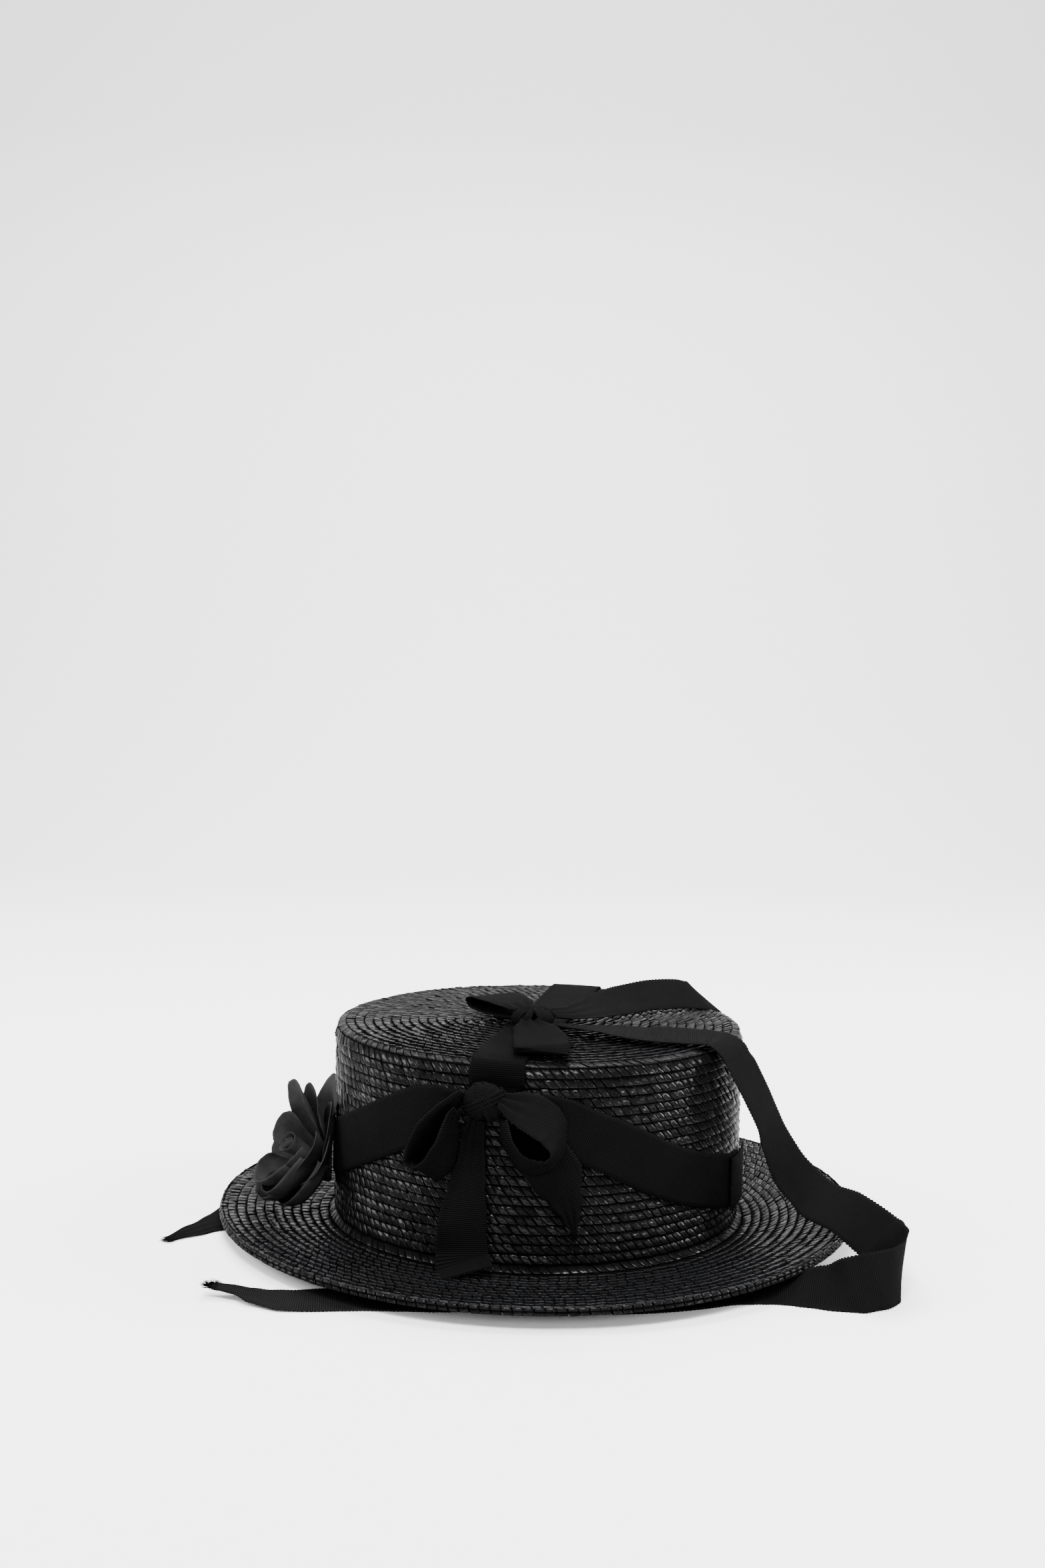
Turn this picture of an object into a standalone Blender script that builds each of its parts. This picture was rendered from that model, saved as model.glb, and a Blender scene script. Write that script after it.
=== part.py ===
"""A black straw boater with petersham ribbons and a cloth rose. Metres, +Z up.

The hat stands on the floor, z = 0, with the centre of its head opening over the origin. +X runs along the
hat's long axis, away from the rose, and -Y points to the side that carries the bow.
"""

from collections import namedtuple
from math import cos, degrees, pi, radians, sin

import bmesh
import bpy
from mathutils import Matrix, Vector

# The straw
CROWN_HALF_LENGTH = 0.0995
CROWN_HALF_WIDTH = 0.086
CROWN_HEIGHT = 0.096
CROWN_EDGE_RADIUS = 0.005
FOOT_RADIUS = 0.008
BRIM_WIDTH = 0.0545
BRIM_RISE = 0.0060
STRAW_WALL = 0.002

# The ribbon
RIBBON_WIDTH = 0.025
RIBBON_THICKNESS = 0.001
TAB_HEIGHT = 0.030
KNOT_LENGTH = 0.019
KNOT_DEPTH = 0.010
KNOT_HEIGHT = 0.016

# The rose
PETAL_LENGTH = 0.040
PETAL_WIDTH = 0.028
PETAL_THICKNESS = 0.001
BUD_LENGTH = 0.016
BUD_RADIUS = 0.005
ROSE_LIFT = 0.0025
PETAL_START = 0.009

# The gap that touching pieces keep
CLEARANCE = 0.0004

# How finely the faces follow the shapes
OVAL_SIDES = 72
ARC_STEPS = 4
RIBBON_STEP = 0.0065
PETAL_STEPS = 4

LAYER = RIBBON_THICKNESS + CLEARANCE
FOOT_Z = RIBBON_THICKNESS + CLEARANCE
CROWN_TOP_Z = FOOT_Z + CROWN_HEIGHT

# How the rim's rise varies round the hat: the angle in degrees, and the rise as a share of BRIM_RISE
RIM_WAVE = [
    (0, 1.45),
    (45, 1.20),
    (90, 0.55),
    (135, 0.40),
    (180, 0.87),
    (225, 1.05),
    (270, 1.10),
    (315, 1.30),
]

# Where a ribbon's centre passes, one row for each point:
# zone: TOP is over the crown's top, EDGE round its top edge, WALL beside its wall, BRIM over the brim and
#       FLOOR over the floor
# a, b: on TOP the shares of the crown's half length and half width; elsewhere a is the angle in degrees round
#       the hat, and b the share of the crown's height on WALL, of the way up round the edge on EDGE, or of
#       the brim's width beyond the crown's oval
# out:  how far it stands off that surface, in ribbon widths, beyond lying on it
# over: how many ribbons lie under it there
# wide: its width there as a share of the ribbon's, where a knot gathers it or its end is cut
# turn: the direction across it (round the hat, outwards, up; on TOP along X, Y, Z), or None where it is flat
Row = namedtuple("Row", "zone a b out over wide turn", defaults=(0, 0, 1, None))

BACK_OF_CROWN = 76.9
FRONT_OF_CROWN = -101.1
TAIL_LEAVES_TOP = -30.7

CROWN_RIBBON = [
    Row("WALL", FRONT_OF_CROWN, 0.82, wide=0.45),
    Row("WALL", FRONT_OF_CROWN, 0.86, wide=0.60),
    Row("WALL", FRONT_OF_CROWN, 0.90),
    Row("EDGE", FRONT_OF_CROWN, 0),
    Row("EDGE", FRONT_OF_CROWN, 0.5),
    Row("EDGE", FRONT_OF_CROWN, 1),
    Row("TOP", -0.110, -0.523),
    Row("TOP", -0.008, -0.140),
    Row("TOP", 0.100, 0.350),
    Row("EDGE", BACK_OF_CROWN, 1),
    Row("EDGE", BACK_OF_CROWN, 0.5),
    Row("EDGE", BACK_OF_CROWN, 0),
    Row("WALL", BACK_OF_CROWN, 0.85),
    Row("WALL", BACK_OF_CROWN, 0.45),
]

SIDE_BAND = [
    Row("WALL", -110.6, 0.797, wide=0.40),
    Row("WALL", -112.7, 0.792, wide=0.60),
    Row("WALL", -116.2, 0.771, wide=0.85),
    Row("WALL", -122.2, 0.730),
    Row("WALL", -133.8, 0.630),
    Row("WALL", -144.6, 0.539),
    Row("WALL", -157.3, 0.446),
    Row("WALL", -168.0, 0.385),
    Row("WALL", -182.0, 0.360),
    Row("WALL", -198.0, 0.380),
    Row("WALL", -215.0, 0.440),
    Row("WALL", -240.0, 0.530),
    Row("WALL", -262.0, 0.595),
    Row("WALL", -268.0, 0.605),
    Row("WALL", -274.0, 0.612, over=1),
    Row("WALL", -283.0, 0.615, over=1),
    Row("WALL", -293.0, 0.600, over=1),
    Row("WALL", -299.0, 0.585),
    Row("WALL", -310.0, 0.530),
    Row("WALL", -322.0, 0.440),
    Row("WALL", -333.0, 0.320),
    Row("WALL", -342.0, 0.270),
]

SIDE_BAND_RIGHT = [
    Row("WALL", -96.8, 0.792, wide=0.40),
    Row("WALL", -94.3, 0.783, wide=0.60),
    Row("WALL", -90.2, 0.760, wide=0.85),
    Row("WALL", -84.3, 0.718),
    Row("WALL", -78.0, 0.666),
    Row("WALL", -70.4, 0.605),
    Row("WALL", -63.2, 0.539),
    Row("WALL", -55.5, 0.468),
    Row("WALL", -45.0, 0.394),
    Row("WALL", -33.9, 0.338),
    Row("WALL", -23.6, 0.300),
    Row("WALL", -17.0, 0.290),
]

TAB_NEAR = [
    Row("WALL", -25.0, 0.285, over=1),
    Row("WALL", -19.0, 0.285, over=1),
    Row("WALL", -13.0, 0.285, over=1),
    Row("WALL", -7.0, 0.285, over=1),
]

TAB_FAR = [Row("WALL", -row.a, row.b, over=1) for row in TAB_NEAR]

SIDE_LOOP_LEFT = [
    Row("WALL", -109.2, 0.866, 0.24, wide=0.35, turn=(0, 0.8, 0.6)),
    Row("WALL", -110.7, 0.829, 0.36, wide=0.60, turn=(0, 0.82, 0.57)),
    Row("WALL", -112.6, 0.785, 0.45, wide=0.80, turn=(0, 0.82, 0.57)),
    Row("WALL", -114.8, 0.721, 0.52, turn=(0, 0.82, 0.57)),
    Row("WALL", -116.7, 0.644, 0.54, turn=(0, 0.82, 0.57)),
    Row("WALL", -118.1, 0.565, 0.58, turn=(0, 0.82, 0.57)),
    Row("WALL", -117.7, 0.520, 0.60, turn=(0, 0.82, 0.57)),
    Row("WALL", -116.4, 0.503, 0.60, turn=(0, 0.82, 0.57)),
    Row("WALL", -114.1, 0.529, 0.60, turn=(0, 0.82, 0.57)),
    Row("WALL", -111.9, 0.608, 0.60, turn=(0, 0.82, 0.57)),
    Row("WALL", -110.7, 0.689, 0.56, wide=0.90, turn=(0, 0.82, 0.57)),
    Row("WALL", -110.1, 0.770, 0.48, wide=0.60, turn=(0, 0.82, 0.57)),
    Row("WALL", -109.4, 0.800, 0.40, wide=0.35, turn=(0, 0.8, 0.6)),
]

SIDE_LOOP_RIGHT = [
    Row("WALL", -99.0, 0.857, 0.37, wide=0.35, turn=(-0.15, 0.75, -0.6)),
    Row("WALL", -94.8, 0.837, 0.46, wide=0.62, turn=(-0.18, 0.68, -0.7)),
    Row("WALL", -92.0, 0.822, 0.56, wide=0.78, turn=(-0.22, 0.72, -0.64)),
    Row("WALL", -89.0, 0.787, 0.61, wide=0.90, turn=(-0.30, 0.80, -0.50)),
    Row("WALL", -87.0, 0.747, 0.63, turn=(-0.31, 0.86, -0.41)),
    Row("WALL", -85.8, 0.670, 0.64, turn=(-0.34, 0.92, -0.10)),
    Row("WALL", -86.9, 0.610, 0.64, turn=(-0.30, 0.90, 0.28)),
    Row("WALL", -88.7, 0.580, 0.64, turn=(-0.20, 0.86, 0.47)),
    Row("WALL", -91.2, 0.572, 0.63, turn=(-0.04, 0.83, 0.55)),
    Row("WALL", -93.5, 0.584, 0.61, turn=(0.10, 0.83, 0.54)),
    Row("WALL", -95.9, 0.637, 0.58, wide=0.88, turn=(0.26, 0.87, 0.40)),
    Row("WALL", -97.5, 0.701, 0.54, wide=0.74, turn=(0.40, 0.90, 0.10)),
    Row("WALL", -97.9, 0.769, 0.48, wide=0.40, turn=(0.40, 0.85, -0.10)),
]

SIDE_TAIL_LEFT = [
    Row("WALL", -105.8, 0.734, 0.08, wide=0.30, turn=(1, 0, 0)),
    Row("WALL", -106.9, 0.640, 0.04, wide=0.50, turn=(1, 0, 0)),
    Row("WALL", -107.2, 0.540, 0.05, wide=0.56, turn=(0.99, -0.10, 0)),
    Row("WALL", -107.9, 0.440, 0.10, wide=0.70, turn=(1, 0, 0)),
    Row("WALL", -108.4, 0.260, 0.26, wide=0.88, turn=(0.93, -0.35, 0)),
    Row("BRIM", -108.4, 0.150, 0.34, wide=0.96, turn=(0.95, -0.30, 0)),
    Row("BRIM", -107.6, 0.190, 0.16, wide=1.00, turn=(0.98, -0.10, 0)),
    Row("BRIM", -105.9, 0.300, 0.08, wide=1.00, turn=(1, 0, 0)),
]

SIDE_TAIL_RIGHT = [
    Row("WALL", -97.8, 0.703, 0.030, over=1, wide=0.30),
    Row("WALL", -93.6, 0.646, 0.020, over=1, wide=0.70),
    Row("WALL", -89.5, 0.584, 0.020, over=1, wide=0.95),
    Row("WALL", -85.4, 0.482, 0.020, over=1, wide=0.95),
    Row("WALL", -83.3, 0.385, 0.020, over=1, wide=0.62),
    Row("WALL", -81.6, 0.288, 0.020, over=1, wide=0.32),
    Row("WALL", -80.8, 0.215, 0.010, over=1, wide=0.08),
]

TOP_LOOP_LEFT = [
    Row("TOP", -0.074, -0.213, 0.15, wide=0.40, turn=(0.80, 0.60, 0)),
    Row("TOP", -0.131, -0.070, 0.14, wide=0.80, turn=(0.86, 0.51, 0)),
    Row("TOP", -0.191, 0.081, 0.12, turn=(0.88, 0.47, 0)),
    Row("TOP", -0.241, 0.203, 0.12, turn=(0.88, 0.47, 0)),
    Row("TOP", -0.258, 0.244, 0.20, turn=(0.88, 0.47, 0)),
    Row("TOP", -0.243, 0.215, 0.29, turn=(0.88, 0.47, 0)),
    Row("TOP", -0.191, 0.093, 0.34, turn=(0.88, 0.47, 0)),
    Row("TOP", -0.136, -0.047, 0.36, wide=0.85, turn=(0.86, 0.51, 0)),
    Row("TOP", -0.095, -0.151, 0.35, wide=0.60, turn=(0.82, 0.57, 0)),
    Row("TOP", -0.072, -0.208, 0.34, wide=0.40, turn=(0.80, 0.60, 0)),
]

TOP_LOOP_FRONT = [
    Row("TOP", -0.040, -0.395, 0.03, over=1, wide=0.45, turn=(0.97, -0.20, 0)),
    Row("TOP", -0.015, -0.558, 0.03, over=1, wide=0.85, turn=(0.96, -0.25, 0)),
    Row("TOP", 0.002, -0.721, 0.03, over=1, turn=(0.95, -0.30, 0)),
    Row("TOP", 0.004, -0.890, 0.03, over=1, turn=(0.95, -0.31, 0)),
    Row("TOP", 0.004, -0.930, 0.09, over=1, turn=(0.95, -0.31, 0)),
    Row("TOP", 0.003, -0.895, 0.15, over=1, turn=(0.95, -0.31, 0)),
    Row("TOP", 0.001, -0.733, 0.17, over=1, turn=(0.95, -0.30, 0)),
    Row("TOP", -0.020, -0.558, 0.20, over=1, wide=0.85, turn=(0.96, -0.25, 0)),
    Row("TOP", -0.043, -0.413, 0.22, over=1, wide=0.45, turn=(0.97, -0.20, 0)),
]

LONG_TAIL_RIGHT = [
    Row("TOP", 0.085, -0.308, 0.16, wide=0.35, turn=(0.10, 0.98, -0.12)),
    Row("TOP", 0.156, -0.337, 0.14, wide=0.50, turn=(0.12, 0.98, -0.12)),
    Row("TOP", 0.281, -0.372, 0.13, wide=0.75, turn=(0.15, 0.98, -0.08)),
    Row("TOP", 0.382, -0.400, 0.11, wide=0.90, turn=(0.15, 0.98, 0)),
    Row("TOP", 0.477, -0.433, 0.09, turn=(0.12, 0.99, 0)),
    Row("TOP", 0.573, -0.453, 0.10, turn=(0.10, 0.98, 0.06)),
    Row("TOP", 0.673, -0.465, 0.09, turn=(0.20, 0.97, 0.05)),
    Row("TOP", 0.769, -0.483, 0.09, turn=(0.38, 0.92, 0.02)),
    Row("EDGE", TAIL_LEAVES_TOP, 1.0, 0.05, turn=(1, 0, 0)),
    Row("EDGE", TAIL_LEAVES_TOP, 0.5, 0.12, turn=(1, 0, 0)),
    Row("EDGE", TAIL_LEAVES_TOP, 0.0, 0.28, turn=(1, 0, 0)),
    Row("WALL", -29.9, 0.863, 0.48, turn=(1, 0, 0)),
    Row("WALL", -25.6, 0.678, 0.70, turn=(0.99, 0.05, -0.09)),
    Row("WALL", -23.2, 0.564, 0.79, turn=(0.98, 0.15, 0)),
    Row("WALL", -20.0, 0.381, 1.06, turn=(0.91, 0.35, 0.21)),
    Row("WALL", -18.7, 0.295, 1.33, turn=(0.85, 0.40, 0.33)),
    Row("WALL", -19.3, 0.240, 1.61, turn=(0.80, 0.38, 0.46)),
    Row("WALL", -21.8, 0.225, 2.17, turn=(0.82, 0.10, 0.57)),
    Row("FLOOR", -23.8, 1.341, 0.60, turn=(0.68, 0.20, 0.70)),
    Row("FLOOR", -25.6, 1.501, 0.48, turn=(0.42, 0.15, 0.89)),
    Row("FLOOR", -30.3, 1.667, 0.48, turn=(0.15, 0.05, 0.98)),
    Row("FLOOR", -34.3, 1.725, 0.48, turn=(0, -0.10, 0.99)),
    Row("FLOOR", -37.6, 1.662, 0.47, turn=(0, -0.25, 0.96)),
    Row("FLOOR", -39.5, 1.517, 0.36, turn=(0.15, -0.66, 0.73)),
    Row("FLOOR", -40.9, 1.268, 0.16, turn=(0.30, -0.90, 0.30)),
    Row("FLOOR", -42.2, 1.094, 0.11, turn=(0.30, -0.93, 0.20)),
    Row("FLOOR", -44.2, 0.940, 0.05, turn=(0.25, -0.96, 0.08)),
    Row("FLOOR", -47.8, 0.807),
    Row("FLOOR", -52.1, 0.705),
    Row("FLOOR", -58.8, 0.647),
    Row("FLOOR", -65.4, 0.601),
    Row("FLOOR", -76.1, 0.532),
    Row("FLOOR", -89.5, 0.471),
    Row("FLOOR", -102.9, 0.520),
    Row("FLOOR", -109.2, 0.598),
    Row("FLOOR", -116.0, 0.696),
    Row("FLOOR", -122.4, 0.832),
    Row("FLOOR", -128.0, 1.034, wide=0.95),
    Row("FLOOR", -132.3, 1.233, 0.02, wide=0.85),
    Row("FLOOR", -136.0, 1.352, 0.05, wide=0.60),
    Row("FLOOR", -138.9, 1.430, 0.09, wide=0.34),
    Row("FLOOR", -141.6, 1.547, 0.12, wide=0.20),
]

LONG_TAIL_BACK = [
    Row("TOP", 0.065, -0.209, 0.29, wide=0.38, turn=(-0.30, 0.90, 0.20)),
    Row("TOP", 0.151, -0.140, 0.24, wide=0.52, turn=(-0.35, 0.90, 0.20)),
    Row("TOP", 0.251, -0.012, 0.21, wide=0.75, turn=(-0.45, 0.86, 0.22)),
    Row("TOP", 0.362, 0.151, 0.21, wide=0.95, turn=(-0.42, 0.86, 0.28)),
    Row("TOP", 0.482, 0.291, 0.22, turn=(-0.25, 0.91, 0.32)),
    Row("TOP", 0.623, 0.378, 0.24, turn=(-0.10, 0.91, 0.40)),
    Row("TOP", 0.744, 0.424, 0.25, turn=(-0.08, 0.91, 0.40)),
    Row("TOP", 0.829, 0.459, 0.25, turn=(-0.15, 0.90, 0.40)),
    Row("EDGE", 32.0, 0.5, 0.24, turn=(0.90, 0, 0.35)),
    Row("EDGE", 35.0, 0.0, 0.28, turn=(1, 0, 0.10)),
    Row("WALL", 40.4, 0.72, 0.34, turn=(1, 0, 0)),
    Row("WALL", 45.0, 0.45, 0.44, turn=(1, 0, 0)),
    Row("WALL", 49.0, 0.25, 0.60, turn=(1, 0, 0)),
    Row("BRIM", 54.0, 0.52, 0.26, turn=(1, 0, 0)),
    Row("BRIM", 59.5, 0.80, 0.11),
    Row("BRIM", 65.5, 1.06, 0.10),
    Row("FLOOR", 71.5, 1.28, 0.20),
    Row("FLOOR", 77.0, 1.42, 0.05),
    Row("FLOOR", 82.0, 1.46),
    Row("FLOOR", 91.0, 1.34),
    Row("FLOOR", 100.5, 1.10),
    Row("FLOOR", 112.5, 0.86),
    Row("FLOOR", 124.5, 0.72),
    Row("FLOOR", 137.5, 0.70),
    Row("FLOOR", 151.5, 0.70),
    Row("FLOOR", 163.3, 0.730),
    Row("FLOOR", 177.6, 0.781),
    Row("FLOOR", 187.9, 0.965, wide=0.95),
    Row("FLOOR", 191.7, 1.207, 0.01, wide=0.60),
    Row("FLOOR", 195.4, 1.480, 0.04, wide=0.22),
]

# The knots: the zone and place as in a ribbon's row, and how many ribbons lie under it
SIDE_KNOT = Row("WALL", -103.3, 0.836, over=1)
TOP_KNOT = Row("TOP", -0.031, -0.296, over=1)

# The rose: where its base sits on the wall, and the way it faces (round the hat, outwards, up)
ROSE_ANGLE = -175.0
ROSE_HEIGHT = 0.255
ROSE_FACING = (0.26, 0.80, 0.52)

# The rose's petals, from the outer ones in: the degrees round the rose, the degrees they open from the way it
# faces, and their length and width as shares. Petals that lap each other open 9 degrees apart or more.
Petal = namedtuple("Petal", "around open long wide")
PETALS = [
    Petal(228, 78, 0.82, 1.00),
    Petal(312, 78, 0.80, 1.00),
    Petal(92, 62, 1.12, 0.82),
    Petal(268, 65, 0.96, 1.10),
    Petal(6, 64, 0.84, 0.90),
    Petal(178, 68, 0.90, 1.00),
    Petal(53, 53, 1.06, 0.84),
    Petal(140, 52, 0.94, 0.88),
    Petal(304, 54, 0.98, 1.05),
    Petal(98, 43, 1.08, 0.85),
    Petal(0, 43, 0.88, 0.90),
    Petal(270, 44, 0.95, 0.95),
    Petal(60, 34, 0.98, 0.75),
    Petal(328, 33, 0.80, 0.80),
]
PETAL_BEND = 8
PETAL_WRAP = 41


def add_material(name, colour, roughness, metallic=0.0):
    material = bpy.data.materials.new(name)
    material.use_nodes = True
    shader = material.node_tree.nodes["Principled BSDF"]
    shader.inputs["Base Color"].default_value = (*colour, 1.0)
    shader.inputs["Roughness"].default_value = roughness
    shader.inputs["Metallic"].default_value = metallic
    return material


def add_object(name, mesh_source, material):
    """A new object made from a bmesh, in the hat's collection."""
    mesh = bpy.data.meshes.new(name)
    mesh_source.to_mesh(mesh)
    mesh_source.free()
    made = bpy.data.objects.new(name, mesh)
    hat_collection.objects.link(made)
    mesh.materials.append(material)
    return made


def thicken(made, thickness, offset):
    wall = made.modifiers.new("Wall", "SOLIDIFY")
    wall.thickness = thickness
    wall.offset = offset
    wall.use_even_offset = True
    return wall


def smooth_between(table, angle):
    """The value at an angle of a closed table of (degrees, value), with a smooth run between its rows."""
    angle = angle % 360
    rows = [(a - 360, v) for a, v in table[-1:]] + table + [(a + 360, v) for a, v in table[:1]]
    for (a0, v0), (a1, v1) in zip(rows, rows[1:]):
        if a0 <= angle <= a1:
            share = (angle - a0) / (a1 - a0)
            return v0 + (v1 - v0) * (1 - cos(pi * share)) / 2
    return rows[0][1]


def oval(angle, offset):
    """A point of the crown's oval, moved outwards by the offset."""
    turn = radians(angle)
    return Vector(((CROWN_HALF_LENGTH + offset) * cos(turn), (CROWN_HALF_WIDTH + offset) * sin(turn), 0))


def outward(angle):
    turn = radians(angle)
    return Vector((cos(turn) / CROWN_HALF_LENGTH, sin(turn) / CROWN_HALF_WIDTH, 0)).normalized()


def brim_underside(angle, offset):
    """The height of the brim's underside: level at the crown's foot and rising to the rim."""
    share = max(0.0, (offset - FOOT_RADIUS) / (BRIM_WIDTH - FOOT_RADIUS))
    return FOOT_Z + BRIM_RISE * smooth_between(RIM_WAVE, angle) * share


def straw_profile():
    """The outer skin from the crown's top to the rim: (offset from the oval, height or None on the brim)."""
    inner = CROWN_EDGE_RADIUS
    points = []
    for step in range(ARC_STEPS + 1):
        turn = radians(90 * step / ARC_STEPS)
        points.append((inner * (sin(turn) - 1), CROWN_TOP_Z - inner * (1 - cos(turn))))
    foot_top = FOOT_Z + STRAW_WALL + FOOT_RADIUS
    middle = (CROWN_TOP_Z + foot_top) / 2
    points.append((0, middle))
    for step in range(ARC_STEPS + 1):
        turn = radians(90 * step / ARC_STEPS)
        points.append((FOOT_RADIUS * (1 - cos(turn)), foot_top - FOOT_RADIUS * sin(turn)))
    for share in (0.25, 0.5, 0.75, 1.0):
        points.append((FOOT_RADIUS + (BRIM_WIDTH - FOOT_RADIUS) * share, None))
    return points


def add_straw_body(material):
    bm = bmesh.new()
    angles = [360 * side / OVAL_SIDES for side in range(OVAL_SIDES)]
    top = Vector((0, 0, CROWN_TOP_Z))
    centre = bm.verts.new(top)
    rings = []
    rings.append([bm.verts.new(top + oval(a, -CROWN_EDGE_RADIUS) / 2) for a in angles])
    for offset, height in straw_profile():
        ring = []
        for a in angles:
            point = oval(a, offset)
            point.z = brim_underside(a, offset) + STRAW_WALL if height is None else height
            ring.append(bm.verts.new(point))
        rings.append(ring)
    for side in range(OVAL_SIDES):
        after = (side + 1) % OVAL_SIDES
        bm.faces.new((centre, rings[0][side], rings[0][after]))
        for ring, below in zip(rings, rings[1:]):
            bm.faces.new((ring[side], below[side], below[after], ring[after]))
    body = add_object("straw_body", bm, material)
    thicken(body, STRAW_WALL, -1)
    return body


def place(row):
    """The point and the surface's normal of a row, and the frame that its turn is given in."""
    lift = CLEARANCE + RIBBON_THICKNESS / 2 + row.over * LAYER + row.out * RIBBON_WIDTH
    if row.zone == "TOP":
        point = Vector((row.a * CROWN_HALF_LENGTH, row.b * CROWN_HALF_WIDTH, CROWN_TOP_Z + lift))
        return point, Vector((0, 0, 1)), Matrix.Identity(3)
    out = outward(row.a)
    up = Vector((0, 0, 1))
    frame = Matrix((up.cross(out), out, up)).transposed()
    if row.zone == "WALL":
        point = oval(row.a, 0) + out * lift
        point.z = FOOT_Z + row.b * CROWN_HEIGHT
        return point, out, frame
    if row.zone == "EDGE":
        turn = radians(90 * row.b)
        normal = out * cos(turn) + up * sin(turn)
        point = oval(row.a, 0) - out * CROWN_EDGE_RADIUS + normal * (CROWN_EDGE_RADIUS + lift)
        point.z += CROWN_TOP_Z - CROWN_EDGE_RADIUS
        return point, normal, frame
    offset = row.b * BRIM_WIDTH
    point = oval(row.a, 0) + out * offset
    if row.zone == "BRIM":
        point.z = brim_underside(row.a, min(offset, BRIM_WIDTH)) + STRAW_WALL + lift
    else:
        point.z = lift - CLEARANCE
    return point, up, frame


def blend_rows(values, knots, at):
    """A smooth curve through four values at their knots (a centripetal Catmull-Rom spline)."""
    a = [
        values[i] * ((knots[i + 1] - at) / (knots[i + 1] - knots[i]))
        + values[i + 1] * ((at - knots[i]) / (knots[i + 1] - knots[i]))
        for i in range(3)
    ]
    b = [
        a[i] * ((knots[i + 2] - at) / (knots[i + 2] - knots[i]))
        + a[i + 1] * ((at - knots[i]) / (knots[i + 2] - knots[i]))
        for i in range(2)
    ]
    return b[0] * ((knots[2] - at) / (knots[2] - knots[1])) + b[1] * ((at - knots[1]) / (knots[2] - knots[1]))


def beside(row, side, shift):
    """The point beside a row's, along the direction across the ribbon; a flat ribbon bends with the wall."""
    point, _, frame = place(row)
    if row.turn is not None or row.zone not in ("WALL", "EDGE"):
        point += side * shift
        point.z = max(point.z, RIBBON_THICKNESS / 2)
        return point
    turn = radians(row.a)
    radius = Vector((CROWN_HALF_LENGTH * sin(turn), CROWN_HALF_WIDTH * cos(turn))).length
    local = frame.transposed() @ side * shift
    height = local.z / CROWN_HEIGHT if row.zone == "WALL" else 0
    return place(row._replace(a=row.a + degrees(local.x / radius), b=row.b + height))[0]


def ribbon_stations(rows):
    """Each station of a ribbon: its row (a point between two zones), direction across and half width."""
    placed = [place(row) for row in rows]
    points = [p for p, _, _ in placed]
    across = []
    for i, (row, (point, normal, frame)) in enumerate(zip(rows, placed)):
        along = (points[min(i + 1, len(points) - 1)] - points[max(i - 1, 0)]).normalized()
        side = normal.cross(along) if row.turn is None else frame @ Vector(row.turn)
        side = (side - along * side.dot(along)).normalized()
        if across and side.dot(across[-1]) < 0:
            side.negate()
        across.append(side)
    shares = [Vector((row.a, row.b, row.out, row.over)) for row in rows]
    knots = [0.0]
    for p, q in zip(points, points[1:]):
        knots.append(knots[-1] + (q - p).length ** 0.5)
    stations = []
    for i, (row, after) in enumerate(zip(rows, rows[1:])):
        same = row.zone == after.zone
        values = shares if same else points
        gap = knots[i + 1] - knots[i]
        four = [values[i] * 2 - values[i + 1], values[i], values[i + 1], values[i + 1] * 2 - values[i]]
        at = [knots[i] - gap, knots[i], knots[i + 1], knots[i + 1] + gap]
        if i > 0 and (not same or rows[i - 1].zone == row.zone):
            four[0] = values[i - 1]
            at[0] = knots[i - 1]
        if i + 2 < len(rows) and (not same or rows[i + 2].zone == row.zone):
            four[3] = values[i + 2]
            at[3] = knots[i + 2]
        steps = max(1, round((points[i + 1] - points[i]).length / RIBBON_STEP))
        if row.zone == after.zone == "EDGE":
            steps = 2
        for step in range(steps):
            share = step / steps
            where = blend_rows(four, at, knots[i] + gap * share)
            if same:
                where = Row(row.zone, *where, turn=row.turn or after.turn)
            elif step == 0:
                where = row
            wide = row.wide + (after.wide - row.wide) * share
            stations.append((where, across[i].slerp(across[i + 1], share), wide * RIBBON_WIDTH / 2))
    stations.append((rows[-1], across[-1], rows[-1].wide * RIBBON_WIDTH / 2))
    return stations


def add_ribbon(name, rows, material, quads=1, width=RIBBON_WIDTH):
    """A strip of ribbon through its rows, of the ribbon's thickness, with so many faces across it."""
    bm = bmesh.new()
    lines = []
    for where, side, half in ribbon_stations(rows):
        half *= width / RIBBON_WIDTH
        line = []
        for column in range(quads + 1):
            shift = half * (2 * column / quads - 1)
            point = where + side * shift if isinstance(where, Vector) else beside(where, side, shift)
            line.append(bm.verts.new(point))
        lines.append(line)
    for line, after in zip(lines, lines[1:]):
        for column in range(quads):
            bm.faces.new((line[column], line[column + 1], after[column + 1], after[column]))
    ribbon = add_object(name, bm, material)
    thicken(ribbon, RIBBON_THICKNESS, 0)
    return ribbon


def add_knot(name, row, material):
    """A knot: a rounded lump, longest along the hat, with its back on the ribbons under it."""
    point, normal, _ = place(row)
    point += normal * (KNOT_DEPTH / 2 - RIBBON_THICKNESS / 2)
    bm = bmesh.new()
    bmesh.ops.create_uvsphere(bm, u_segments=12, v_segments=8, radius=0.5)
    bmesh.ops.scale(bm, vec=(KNOT_LENGTH, KNOT_HEIGHT, KNOT_DEPTH), verts=bm.verts)
    knot = add_object(name, bm, material)
    knot.matrix_world = Matrix.Translation(point) @ normal.to_track_quat("Z", "Y").to_matrix().to_4x4()
    return knot


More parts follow.
